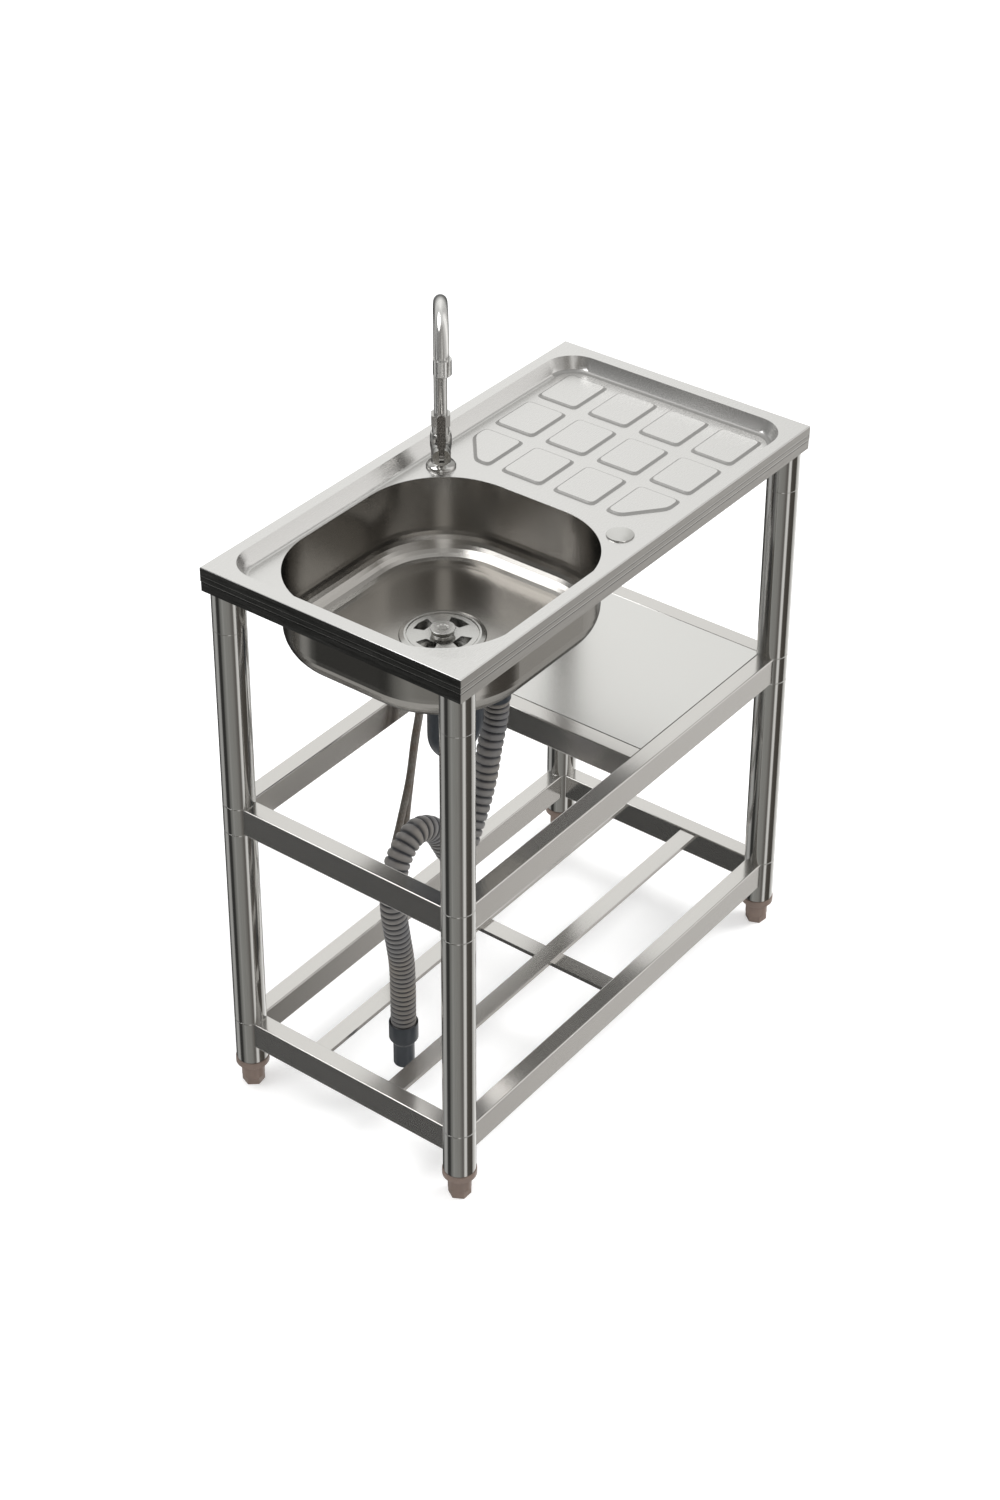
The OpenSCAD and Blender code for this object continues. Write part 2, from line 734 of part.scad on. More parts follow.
module strainer_screw() {
    head_r = screw_d;
    color("silver") at_drain(cup_floor + cup_plate) {
        difference() {
            cylinder(r = head_r, h = screw_d / 2);
            translate([-head_r, -sheet / 2, screw_d / 4]) cube([2 * head_r, sheet, screw_d]);
        }
        translate([0, 0, -cup_plate - 3 * body_wall]) cylinder(d = screw_d, h = cup_plate + 3 * body_wall);
    }
}

module drain_gasket() {
    color("dimgray") at_drain(gasket_low) ring(flange_d, cup_d + 2 * cup_gap, gasket_thick);
}

// Moulded cup under the bowl, with a ribbed cross that takes the screw
module strainer_body() {
    r_in = body_d_in / 2;
    r_out = body_d_out / 2;
    tail_r = trap_d / 2;
    bore_r = tail_r - trap_wall;
    boss_r = screw_d / 2 + body_wall;
    rib_top = cup_floor;
    ribs_low = cone_top;
    color("darkslategray") at_drain(0) difference() {
        union() {
            rotate_extrude() polygon([
                [bore_r, body_low], [tail_r, body_low], [tail_r, cone_low], [r_out, cone_top],
                [r_out, gasket_low - body_wall], [flange_d / 2, gasket_low - body_wall],
                [flange_d / 2, gasket_low], [r_in, gasket_low], [r_in, cone_top + body_wall],
                [bore_r, cone_low + body_wall]
            ]);
            translate([0, 0, ribs_low]) cylinder(r = boss_r, h = rib_top - ribs_low);
            for (turn = [0, 90])
                rotate([0, 0, turn]) translate([-r_in - body_wall / 2, -body_wall / 2, ribs_low])
                    cube([2 * r_in + body_wall, body_wall, rib_top - ribs_low]);
        }
        translate([0, 0, ribs_low - over]) cylinder(d = screw_d + 2 * run_gap, h = rib_top - ribs_low + 2 * over);
    }
}

// Grooved nut that holds the trap to the strainer body
module trap_nut() {
    grips = 18;
    groove_r = trap_wall / 2;
    color("darkslategray") at_drain(body_low - trap_nut_height / 2) difference() {
        cylinder(d = trap_nut_d, h = trap_nut_height);
        translate([0, 0, -over]) cylinder(d = trap_d + 2 * spigot_gap, h = trap_nut_height + 2 * over);
        for (k = [0:grips - 1])
            rotate([0, 0, k * 360 / grips]) translate([trap_nut_d / 2, 0, -over])
                cylinder(r = groove_r, h = trap_nut_height + 2 * over);
    }
}

// Smooth tube of the trap: down, round the lower bend, up and over into the hose
trap_out_x = 2 * (trap_bend + trap_return);
trap_out_z = trap_height + trap_step - trap_d / 3;
module trap_path(d, extra) {
    return_z = trap_height + trap_step;
    translate([0, 0, trap_height]) cylinder(d = d, h = body_low - trap_height + extra);
    translate([trap_bend, 0, trap_height]) rotate([-90, 0, 0])
        rotate_extrude(angle = 180) translate([trap_bend, 0]) circle(d = d);
    translate([2 * trap_bend, 0, trap_height]) cylinder(d = d, h = trap_step);
    translate([2 * trap_bend + trap_return, 0, return_z]) rotate([90, 0, 0])
        rotate_extrude(angle = 180) translate([trap_return, 0]) circle(d = d);
    translate([trap_out_x, 0, trap_out_z - extra]) cylinder(d = d, h = return_z - trap_out_z + extra);
}
module trap() {
    color("slategray") at_drain(0) difference() {
        trap_path(trap_d, 0);
        trap_path(trap_d - 2 * trap_wall, over);
    }
}

// Centre line of the drain hose from the cuff to the adapter, all at y = 0, as shares of
// its way to the left rail and of its fall
hose_x = bowl_x + trap_out_x;
hose_top = trap_out_z - cuff_height;
hose_reach = rail_x - rail_width / 2 + hose_x;
hose_shares = [
    [0, 1], [0, 0.9701], [0.0106, 0.9234], [0.037, 0.866], [0.0617, 0.8086], [0.0863, 0.7392],
    [0.1198, 0.6782], [0.1586, 0.622], [0.1991, 0.5742], [0.2326, 0.5359], [0.2889, 0.5144],
    [0.3488, 0.5359], [0.4017, 0.5981], [0.4545, 0.6603], [0.525, 0.7057], [0.6096, 0.7225],
    [0.6871, 0.6986], [0.7435, 0.6507], [0.7717, 0.5837], [0.7717, 0.4928], [0.747, 0.3828],
    [0.7206, 0.2679], [0.7135, 0.1699], [0.7135, 0.0861], [0.7135, 0]
];
hose_route = [
    for (s = hose_shares) [hose_x - s[0] * hose_reach, hose_low + s[1] * (hose_top - hose_low)]
];
// Centre line of a supply hose from the tap's shank, as shares of its reach and of its fall
supply_top = deck - shank_low;
supply_shares = [
    [0, 1], [0, 0.976], [0.028, 0.891], [0.102, 0.772], [0.259, 0.636], [0.4685, 0.4716],
    [0.565, 0.405], [0.676, 0.307], [0.82, 0.206], [0.917, 0.133], [0.98, 0.055], [1, 0.026], [1, 0]
];
supply_route = [
    for (s = supply_shares) [-s[0] * supply_reach, supply_low + s[1] * (supply_top - supply_low)]
];

// Point at t on a smooth curve through a list of points, where t counts the points
function smooth(p, t) =
    let (
        last = len(p) - 1,
        i = min(floor(t), last - 1),
        u = t - i,
        p1 = p[i],
        p2 = p[i + 1],
        p0 = i > 0 ? p[i - 1] : 2 * p1 - p2,
        p3 = i < last - 1 ? p[i + 2] : 2 * p2 - p1
    )
    (2 * p1 + (p2 - p0) * u + (2 * p0 - 5 * p1 + 4 * p2 - p3) * u * u
        + (3 * p1 - p0 - 3 * p2 + p3) * u * u * u) / 2;

// Length along the curve at each of a number of even steps in t
function running(p, steps, k = 0, sum = 0) =
    let (last = len(p) - 1, next = k == 0 ? 0
        : norm(smooth(p, k * last / steps) - smooth(p, (k - 1) * last / steps)))
        k == steps ? [sum + next] : concat([sum + next], running(p, steps, k + 1, sum + next));

// t at which the curve has the given length, from the table of running lengths
function t_at(table, length, span) =
    let (
        steps = len(table) - 1,
        k = min(steps - 1, len([for (s = table) if (s <= length) 1]) - 1),
        part = (length - table[k]) / (table[k + 1] - table[k])
    )
    (k + part) * span / steps;

// Ring of n points round a route in the x z plane, square to it
function route_ring(p, t, r, n, y) =
    let (
        last = len(p) - 1,
        here = smooth(p, t),
        ahead = smooth(p, min(t + 0.01, last)),
        behind = smooth(p, max(t - 0.01, 0)),
        way = (ahead - behind) / norm(ahead - behind),
        side = [-way[1], way[0]]
    )
    [for (i = [0:n - 1]) let (a = 360 * i / n)
        [here[0] + side[0] * r * cos(a), y + r * sin(a), here[1] + side[1] * r * cos(a)]];

// Ribbed hose: each rib has a ring on its crest and one in the groove after it,
// and a plain bore goes right through
hose_sides = 10;
module drain_hose() {
    n = hose_sides;
    span = len(hose_route) - 1;
    table = running(hose_route, 240);
    total = table[240];
    rings = 2 * ribs;
    flat = 1 / cos(180 / n);
    places = [for (k = [0:rings - 1]) t_at(table, total * k / (rings - 1), span)];
    outer = [for (k = [0:rings - 1])
        route_ring(hose_route, places[k], (hose_d / 2 - (k % 2) * rib_depth) * flat, n, 0)];
    inner = [for (k = [0:rings - 1]) route_ring(hose_route, places[k], hose_bore / 2 * flat, n, 0)];
    last = (rings - 1) * n;
    bore = rings * n;
    color("dimgray") polyhedron(
        points = concat([for (r = outer) each r], [for (r = inner) each r]),
        faces = concat(
            skin_faces(n, rings),
            [for (f = skin_faces(n, rings)) [f[2] + bore, f[1] + bore, f[0] + bore]],
            [for (i = [0:n - 1]) let (j = (i + 1) % n) each [[i, j, j + bore], [i, j + bore, i + bore]]],
            [for (i = [0:n - 1]) let (a = last + i, b = last + (i + 1) % n)
                each [[b, a, a + bore], [b, a + bore, b + bore]]]
        )
    );
}

module hose_cuff() {
    color("darkslategray") translate([bowl_x + trap_out_x, 0, trap_out_z - cuff_height])
        ring(cuff_d, hose_bore, cuff_height);
}

// Stepped end of the hose: a socket, a taper and a plain spigot
module hose_adapter() {
    end = hose_route[len(hose_route) - 1];
    seat = end[1];
    shoulder = adapter_low + spigot_length;
    step = (seat - shoulder) / 3;
    socket_r = hose_d / 2 / cos(180 / hose_sides) + hose_gap;
    collar_r = socket_r + adapter_wall / 2;
    spigot_r = spigot_d / 2;
    bore_r = spigot_r - adapter_wall;
    color("darkslategray") translate([end[0], 0, 0]) rotate_extrude() polygon([
        [bore_r, adapter_low], [spigot_r, adapter_low], [spigot_r, shoulder],
        [collar_r, shoulder + step], [collar_r, seat + step], [socket_r, seat + step],
        [socket_r, seat], [bore_r, seat]
    ]);
}

// Tap, in its own frame: x is forward along the spout's heading, z is up from the deck
module at_tap(z) {
    translate([tap_x, tap_y, deck + z]) rotate([0, 0, heading]) children();
}
nut_low = base_height + body_height + neck_height;
nut_top = nut_low + spout_nut_height;
pocket_low = base_height + body_height;

module tap_body() {
    body_r = body_d / 2;
    neck_r = neck_d / 2;
    base_r = base_d / 2;
    low_r = shank_low_d / 2;
    socket_r = spout_d / 2 + 2 * run_gap + spout_wall;
    base_shares = [[1, 0.4], [0.9, 1]];
    body_shares = [[0.88, 0.055], [0.9, 0.35], [1, 0.62], [1, 0.86], [0.92, 1]];
    color("gainsboro") at_tap(0) difference() {
        union() {
            rotate_extrude() polygon(concat(
                [[0, -shank_low], [low_r, -shank_low], [low_r, 0], [base_r, 0]],
                [for (b = base_shares) [b[0] * base_r, b[1] * base_height]],
                [for (b = body_shares) [b[0] * body_r, base_height + b[1] * body_height]],
                [[neck_r, pocket_low], [neck_r, nut_low], [0, nut_low]]
            ));
            translate([0, 0, valve_z]) rotate([0, 90, 0]) cylinder(d = valve_d, h = valve_reach);
        }
        translate([0, 0, pocket_low]) cylinder(r = socket_r, h = neck_height + over);
        translate([valve_reach - 2 * spindle_d, 0, valve_z]) rotate([0, 90, 0])
            cylinder(d = spindle_d + 2 * run_gap, h = 2 * spindle_d + over);
    }
}

// Hub of the lever: a spindle in the valve, a slot for the lever and a cross pin
pin_share = 0.6;
slot_share = 0.25;
slot_depth_share = 0.3;
hub_x = valve_reach + hub_gap;
pin_x = hub_x + pin_share * hub_length;
module lever_hub() {
    slot = root_width + 2 * hub_gap;
    slot_x = hub_x + slot_share * hub_length;
    slot_low = -slot_depth_share * hub_d;
    color("silver") at_tap(valve_z) {
        difference() {
            translate([hub_x, 0, 0]) rotate([0, 90, 0]) cylinder(d = hub_d, h = hub_length);
            translate([slot_x, -slot / 2, slot_low]) cube([hub_length, slot, hub_d]);
        }
        translate([hub_x - spindle_d, 0, 0]) rotate([0, 90, 0]) cylinder(d = spindle_d, h = spindle_d + over);
        translate([pin_x, 0, 0]) rotate([90, 0, 0]) cylinder(d = pin_d, h = root_width + 2 * over, center = true);
    }
}

module tap_lever() {
    root_r = slot_depth_share * hub_length;
    neck_z = hub_d / 2 + 2 * hub_gap;
    half = lever_thick / 2;
    color("dimgray") at_tap(valve_z) difference() {
        union() {
            translate([pin_x, 0, 0]) rotate([90, 0, 0]) cylinder(r = root_r, h = root_width, center = true);
            translate([pin_x - half, -root_width / 2, 0]) cube([lever_thick, root_width, neck_z + half]);
            translate([pin_x - half, -lever_width / 2, neck_z]) {
                cube([lever_thick, lever_width, lever_length - neck_z - lever_width / 2]);
                translate([0, lever_width / 2, lever_length - neck_z - lever_width / 2]) rotate([0, 90, 0])
                    cylinder(d = lever_width, h = lever_thick);
            }
        }
        translate([pin_x, 0, 0]) rotate([90, 0, 0])
            cylinder(d = pin_d + 2 * run_gap, h = root_width + 2 * over, center = true);
    }
}

module spout_nut() {
    flats = spout_nut_d * cos(30);
    color("gainsboro") at_tap(nut_low) difference() {
        intersection() {
            cylinder(d = spout_nut_d, h = spout_nut_height, $fn = 6);
            rotate_extrude() polygon([
                [0, 0], [flats / 2, 0], [spout_nut_d / 2, sheet], [spout_nut_d / 2, spout_nut_height - sheet],
                [flats / 2, spout_nut_height], [0, spout_nut_height]
            ]);
        }
        translate([0, 0, -over]) cylinder(d = spout_d + 2 * run_gap, h = spout_nut_height + 2 * over);
    }
}

// Swan neck: a bead under the nut, the riser, the bend and the outlet end
arch_z = spout_rise + recess_depth - spout_bend - spout_d / 2;
tip = 2 * spout_wall;
module spout_path(d, extra) {
    translate([0, 0, pocket_low + bead_gap - extra]) cylinder(d = d, h = arch_z - pocket_low - bead_gap + extra);
    translate([spout_bend, 0, arch_z]) rotate([90, 0, 0])
        rotate_extrude(angle = 180) translate([spout_bend, 0]) circle(d = d);
    translate([2 * spout_bend, 0, arch_z - tip - extra]) cylinder(d = d, h = tip + extra);
}
module tap_spout() {
    color("whitesmoke") at_tap(0) difference() {
        union() {
            spout_path(spout_d, 0);
            translate([0, 0, pocket_low + bead_gap])
                cylinder(d = spout_d + 2 * spout_wall, h = neck_height - 2 * bead_gap);
        }
        spout_path(spout_d - 2 * spout_wall, over);
    }
}

module aerator() {
    top = arch_z;
    low = top - outlet_height;
    r = outlet_d / 2;
    bore_r = spout_d / 2;
    jets = 12;
    color("silver") at_tap(0) translate([2 * spout_bend, 0, 0]) difference() {
        rotate_extrude() polygon([
            [0, low + sheet], [r - 2 * sheet, low + sheet], [r - 2 * sheet, low], [r - sheet, low],
            [r, low + sheet], [r, top], [bore_r + run_gap, top], [bore_r + run_gap, top - tip],
            [bore_r - spout_wall, top - tip],
            [bore_r - spout_wall, low + 3 * sheet], [0, low + 3 * sheet]
        ]);
        for (k = [0:jets - 1])
            rotate([0, 0, k * 360 / jets]) translate([bore_r / 2, 0, low])
                cylinder(d = sheet, h = 4 * sheet);
    }
}

// Washer and nut that clamp the tap under the worktop
module tap_backnut() {
    washer = 2 * sheet;
    washer_share = 1.2;
    color("gray") at_tap(-sheet) difference() {
        union() {
            translate([0, 0, -washer]) cylinder(d = washer_share * backnut_flats, h = washer);
            translate([0, 0, -washer - backnut_height])
                cylinder(r = backnut_flats / sqrt(3), h = backnut_height, $fn = 6);
        }
        translate([0, 0, -washer - backnut_height - over])
            cylinder(d = shank_low_d + 2 * run_gap, h = washer + backnut_height + 2 * over);
    }
}

// The two supply hoses hang side by side, side is 1 for hot and -1 for cold
supply_turn = 26;
function supply_place(side) = [
    tap_x + side * supply_pitch / 2 * cos(supply_turn),
    tap_y + side * supply_pitch / 2 * sin(supply_turn)
];
// Route of one supply hose, which parts from the other over the two points after this one
supply_parting = 7;
function supply_line(side) = [
    for (k = [0:len(supply_route) - 1])
        supply_route[k] + [side * supply_spread * min(1, max(0, (k - supply_parting) / 2)), 0]
];
module supply_hose(side) {
    n = 8;
    place = supply_place(side);
    line = supply_line(side);
    span = len(line) - 1;
    table = running(line, 120);
    steps = floor(table[120] / (2 * supply_d));
    color("lightslategray") translate([place[0], place[1], 0]) lofted([
        for (k = [0:steps]) route_ring(line, t_at(table, table[120] * k / steps, span), supply_d / 2, n, 0)
    ]);
}

module supply_nut(side) {
    place = supply_place(side);
    line = supply_line(side);
    end = line[len(line) - 1];
    ferrule_share = 1.3;
    bore_share = 0.8;
    low = -ferrule - supply_nut;
    color("silver") translate([place[0] + end[0], place[1], end[1]]) difference() {
        union() {
            translate([0, 0, -ferrule]) cylinder(d = ferrule_share * supply_d, h = ferrule);
            translate([0, 0, low]) cylinder(r = supply_flats / sqrt(3), h = supply_nut, $fn = 6);
        }
        translate([0, 0, low - over]) cylinder(d = supply_bore, h = bore_share * supply_nut + over);
    }
}

worktop();
sink_bowl();
hole_cover();
leg_sockets();
upper_leg(0);  // upper_leg_fl
upper_leg(1);  // upper_leg_fr
upper_leg(2);  // upper_leg_br
upper_leg(3);  // upper_leg_bl
shelf_corner(0);  // shelf_corner_fl
shelf_corner(1);  // shelf_corner_fr
shelf_corner(2);  // shelf_corner_br
shelf_corner(3);  // shelf_corner_bl
lower_leg(0);  // lower_leg_fl
lower_leg(1);  // lower_leg_fr
lower_leg(2);  // lower_leg_br
lower_leg(3);  // lower_leg_bl
rack_corner(0);  // rack_corner_fl
rack_corner(1);  // rack_corner_fr
rack_corner(2);  // rack_corner_br
rack_corner(3);  // rack_corner_bl
long_rail(-1, shelf_height);  // shelf_rail_front
long_rail(1, shelf_height);  // shelf_rail_back
short_rail(-1, shelf_height);  // shelf_rail_left
short_rail(1, shelf_height);  // shelf_rail_right
shelf_rail_middle();
shelf_panel();
long_rail(-1, rack_height);  // rack_rail_front
long_rail(1, rack_height);  // rack_rail_back
short_rail(-1, rack_height);  // rack_rail_left
short_rail(1, rack_height);  // rack_rail_right
rack_slat(-1);  // rack_slat_front
rack_slat(1);  // rack_slat_back
rack_brace();
foot_inserts();
foot(0);  // foot_fl
foot(1);  // foot_fr
foot(2);  // foot_br
foot(3);  // foot_bl
drain_flange();
strainer_basket();
basket_knob();
strainer_screw();
drain_gasket();
strainer_body();
trap_nut();
trap();
hose_cuff();
drain_hose();
hose_adapter();
tap_body();
lever_hub();
tap_lever();
spout_nut();
tap_spout();
aerator();
tap_backnut();
supply_hose(1);  // supply_hose_hot
supply_hose(-1);  // supply_hose_cold
supply_nut(1);  // supply_nut_hot
supply_nut(-1);  // supply_nut_cold
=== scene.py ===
"""Looks of a free-standing kitchen sink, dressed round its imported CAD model.

Everything is in metres, in the frame of the CAD model: the floor is z = 0, the bowl is at
-x, and the tap stands at the back, which is +y.
"""

import json
import math

import bpy
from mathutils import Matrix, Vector


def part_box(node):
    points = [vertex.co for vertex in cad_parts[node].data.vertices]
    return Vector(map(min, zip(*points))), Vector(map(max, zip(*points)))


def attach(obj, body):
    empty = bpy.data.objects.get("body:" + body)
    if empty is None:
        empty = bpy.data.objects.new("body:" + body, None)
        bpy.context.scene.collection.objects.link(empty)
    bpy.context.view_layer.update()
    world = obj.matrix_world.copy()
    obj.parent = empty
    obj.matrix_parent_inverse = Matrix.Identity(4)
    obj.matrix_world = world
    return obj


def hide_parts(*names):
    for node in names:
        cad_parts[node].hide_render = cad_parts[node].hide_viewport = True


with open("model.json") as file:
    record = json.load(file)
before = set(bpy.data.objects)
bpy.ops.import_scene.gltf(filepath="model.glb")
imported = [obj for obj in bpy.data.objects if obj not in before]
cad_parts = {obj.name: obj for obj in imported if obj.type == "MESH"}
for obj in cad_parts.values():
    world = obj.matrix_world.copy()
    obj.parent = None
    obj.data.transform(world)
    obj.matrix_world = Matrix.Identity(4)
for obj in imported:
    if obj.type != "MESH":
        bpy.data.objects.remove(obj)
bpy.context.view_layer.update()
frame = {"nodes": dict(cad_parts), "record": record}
nodes = frame["nodes"]

# Camera, at the place and angle that the photograph was taken from
CAMERA_PLACE = (-2.4845, -1.8514, 2.6383)
CAMERA_TURN = (59.434, -0.242, -52.871)
CAMERA_LENS = 68.31
CAMERA_SHIFT = (-0.0036, -0.1667)
CAMERA_SENSOR = 36.0
CAMERA_NEAR = 0.05
CAMERA_FAR = 100.0


def make_camera():
    data = bpy.data.cameras.new("camera")
    data.lens = CAMERA_LENS
    data.sensor_width = CAMERA_SENSOR
    data.shift_x, data.shift_y = CAMERA_SHIFT
    data.clip_start = CAMERA_NEAR
    data.clip_end = CAMERA_FAR
    camera = bpy.data.objects.new("camera", data)
    bpy.context.scene.collection.objects.link(camera)
    camera.location = CAMERA_PLACE
    camera.rotation_euler = [math.radians(a) for a in CAMERA_TURN]
    bpy.context.scene.camera = camera


make_camera()
bpy.context.scene.view_settings.view_transform = "Standard"

# Heights and places on the worktop, fitted to the CAD model
SKIRT_TOP = 0.818
SKIRT_LEFT = -0.3738
DECK = 0.798
PADS_FROM = 0.03
PAD_RISE = 0.0025
TAP = (0.023, 0.142)

# A noise texture seldom leaves the first range. The others pick out streaks and patches.
NOISE_RANGE = (0.3, 0.7)
STREAK_RANGE = (0.35, 0.65)
PATCH_RANGE = (0.35, 0.7)
# Depth of the relief that bump nodes give to metal and to plastic
METAL_RELIEF = 0.0004
PLASTIC_RELIEF = 0.0003
FULL_TURN = 2 * math.pi


# Helpers of the shader work


class Sheet:
    """The node tree of one material or group, with short calls to add and link nodes."""

    def __init__(self, tree):
        self.tree = tree

    def add(self, kind, **settings):
        node = self.tree.nodes.new(kind)
        for key, value in settings.items():
            setattr(node, key, value)
        return node

    def link(self, source, target):
        self.tree.links.new(source, target)

    def put(self, value, socket):
        """Links an input to a socket, or gives it a constant."""
        if isinstance(value, bpy.types.NodeSocket):
            self.link(value, socket)
        else:
            socket.default_value = value

    def feed(self, node, **inputs):
        """Fills inputs by name, with an underscore for each space."""
        for key, value in inputs.items():
            self.put(value, node.inputs[key.replace("_", " ")])
        return node

    def math(self, operation, a, b=0.0):
        node = self.add("ShaderNodeMath", operation=operation)
        for socket, value in zip(node.inputs, (a, b)):
            self.put(value, socket)
        return node.outputs[0]

    def between(self, value, low, high, new_low, new_high, kind="LINEAR"):
        node = self.add("ShaderNodeMapRange", interpolation_type=kind)
        self.feed(node, Value=value, From_Min=low, From_Max=high, To_Min=new_low, To_Max=new_high)
        return node.outputs["Result"]

    def over_noise(self, value, new_low, new_high):
        """Stretches a noise mask to a new range."""
        return self.between(value, *NOISE_RANGE, new_low, new_high)

    def noise(self, vector, scale, detail=2.0, roughness=0.5):
        node = self.add("ShaderNodeTexNoise")
        self.feed(node, Vector=vector, Scale=scale, Detail=detail, Roughness=roughness)
        return node.outputs["Fac"]

    def stretched(self, vector, scale):
        node = self.add("ShaderNodeMapping", vector_type="TEXTURE")
        node.inputs["Scale"].default_value = [1.0 / s for s in scale]
        self.link(vector, node.inputs["Vector"])
        return node.outputs["Vector"]

    def split(self, vector):
        node = self.add("ShaderNodeSeparateXYZ")
        self.link(vector, node.inputs[0])
        return node.outputs

    def blend(self, share, first, second):
        node = self.add("ShaderNodeMix", data_type="RGBA")
        for value, socket in ((share, node.inputs[0]), (first, node.inputs[6]),
                              (second, node.inputs[7])):
            self.put(value, socket)
        return node.outputs[2]

    def relief(self, shader, height, strength, distance):
        """Gives a shader a bump."""
        node = self.add("ShaderNodeBump")
        self.feed(node, Strength=strength, Distance=distance, Height=height)
        self.link(node.outputs["Normal"], shader.inputs["Normal"])


def new_group(name, inputs, outputs):
    """An empty shader node group with named sockets, and the nodes of its two ends."""
    group = bpy.data.node_groups.new(name, "ShaderNodeTree")
    for label, kind, value in inputs:
        socket = group.interface.new_socket(name=label, in_out="INPUT", socket_type=kind)
        if value is not None:
            socket.default_value = value
    for label, kind in outputs:
        group.interface.new_socket(name=label, in_out="OUTPUT", socket_type=kind)
    sheet = Sheet(group)
    return group, sheet, sheet.add("NodeGroupInput").outputs, sheet.add("NodeGroupOutput").inputs


# Number of coarse lines for each fine one
COARSE_SCALE = 0.23


def make_brushed_group():
    """Fine lines of a brushed surface: a mask for the roughness, and a height for the bump."""
    group, sheet, given, result = new_group(
        "brushed_lines",
        [("Vector", "NodeSocketVector", None), ("Fine", "NodeSocketFloat", 1.0),
         ("Coarse", "NodeSocketFloat", 1.0)],
        [("Mask", "NodeSocketFloat"), ("Height", "NodeSocketFloat")],
    )
    fine = sheet.noise(given["Vector"], 1.0, detail=3.0, roughness=0.6)
    wide = sheet.add("ShaderNodeVectorMath", operation="SCALE")
    sheet.link(given["Vector"], wide.inputs[0])
    wide.inputs["Scale"].default_value = COARSE_SCALE
    coarse = sheet.noise(wide.outputs[0], 1.0)
    mask = sheet.math("ADD", sheet.math("MULTIPLY", fine, given["Fine"]),
                      sheet.math("MULTIPLY", coarse, given["Coarse"]))
    level = sheet.math("DIVIDE", mask, sheet.math("ADD", given["Fine"], given["Coarse"]))
    sheet.link(level, result["Mask"])
    sheet.link(level, result["Height"])
    return group


def make_patches_group():
    """Soft patches of handling and water marks, as a mask from 0 to 1."""
    group, sheet, given, result = new_group(
        "soft_patches",
        [("Vector", "NodeSocketVector", None), ("Scale", "NodeSocketFloat", 8.0)],
        [("Mask", "NodeSocketFloat")],
    )
    patches = sheet.noise(given["Vector"], given["Scale"], detail=4.0, roughness=0.55)
    sheet.link(sheet.between(patches, *PATCH_RANGE, 0.0, 1.0), result["Mask"])
    return group


brushed_lines = make_brushed_group()
soft_patches = make_patches_group()


def start_material(name):
    material = bpy.data.materials.new(name)
    material.use_nodes = True
    sheet = Sheet(material.node_tree)
    shader = material.node_tree.nodes["Principled BSDF"]
    place = sheet.add("ShaderNodeTexCoord").outputs["Object"]
    return material, sheet, shader, place


def add_lines(sheet, place, grain, coarse):
    """Brushed lines. grain gives their number per metre along x, y and z."""
    lines = sheet.add("ShaderNodeGroup", node_tree=brushed_lines)
    sheet.feed(lines, Vector=sheet.stretched(place, grain), Fine=1.0, Coarse=coarse)
    return lines.outputs


def add_patches(sheet, place, scale):
    """Soft patches. A higher scale makes them smaller."""
    patches = sheet.add("ShaderNodeGroup", node_tree=soft_patches)
    sheet.feed(patches, Vector=place, Scale=scale)
    return patches.outputs["Mask"]


def tones(colour, tint):
    """A darker and a lighter tone of one colour."""
    return ([c * (1 - tint) for c in colour] + [1.0],
            [min(1.0, c * (1 + tint)) for c in colour] + [1.0])


# Weight of the coarse lines against the fine ones
COARSE_LINES = 0.1
SKIRT_COARSE_LINES = 0.5
# Painted shade: a bright round piece is painted dark towards its rim, where the view grazes it,
# between these values of the facing mask
RIM_FROM = 0.5
RIM_TO = 0.85
PAINTED_RIM_SHADE_COLOUR = (0.03, 0.03, 0.03, 1.0)


def make_steel(name, colour, rough, grain, swing, bump, patch_scale, tint,
               metallic=1.0, edge_tone=1.0, outline=0.0):
    """Steel with drawn lines along one way.

    swing is how far the roughness varies, edge_tone dims what a glancing view reflects,
    and outline is the strength of the painted shade at the rim.
    """
    material, sheet, shader, place = start_material(name)
    lines = add_lines(sheet, place, grain, COARSE_LINES)
    patches = add_patches(sheet, place, patch_scale)
    steel = sheet.blend(sheet.over_noise(lines["Mask"], 0.0, 1.0), *tones(colour, tint))
    # Painted shade: the rim is painted dark where the view grazes the surface
    if outline:
        facing = sheet.add("ShaderNodeLayerWeight").outputs["Facing"]
        rim_shade_mask = sheet.between(facing, RIM_FROM, RIM_TO, 0.0, outline)
        steel = sheet.blend(rim_shade_mask, steel, PAINTED_RIM_SHADE_COLOUR)
    sheet.link(steel, shader.inputs["Base Color"])
    shader.inputs["Specular Tint"].default_value = (edge_tone, edge_tone, edge_tone, 1.0)
    brushed = sheet.over_noise(lines["Mask"], rough - swing, rough + swing)
    rubbed = sheet.math("MULTIPLY", patches, swing)
    sheet.link(sheet.math("ADD", brushed, rubbed), shader.inputs["Roughness"])
    shader.inputs["Metallic"].default_value = metallic
    sheet.relief(shader, lines["Height"], bump, METAL_RELIEF)
    return material


PLASTIC_SPECKLE = 900.0
PLASTIC_PATCHES = 25.0
PLASTIC_TINT = 0.12
PLASTIC_SWING = 0.06
PLASTIC_BUMP = 0.12


def make_plastic(name, colour, rough):
    """Moulded plastic with a fine grain and a slightly uneven colour."""
    material, sheet, shader, place = start_material(name)
    fine = sheet.noise(place, PLASTIC_SPECKLE, detail=3.0, roughness=0.6)
    patches = add_patches(sheet, place, PLASTIC_PATCHES)
    sheet.link(sheet.blend(patches, *tones(colour, PLASTIC_TINT)), shader.inputs["Base Color"])
    sheet.link(sheet.over_noise(fine, rough - PLASTIC_SWING, rough + PLASTIC_SWING),
               shader.inputs["Roughness"])
    sheet.relief(shader, fine, PLASTIC_BUMP, PLASTIC_RELIEF)
    return material


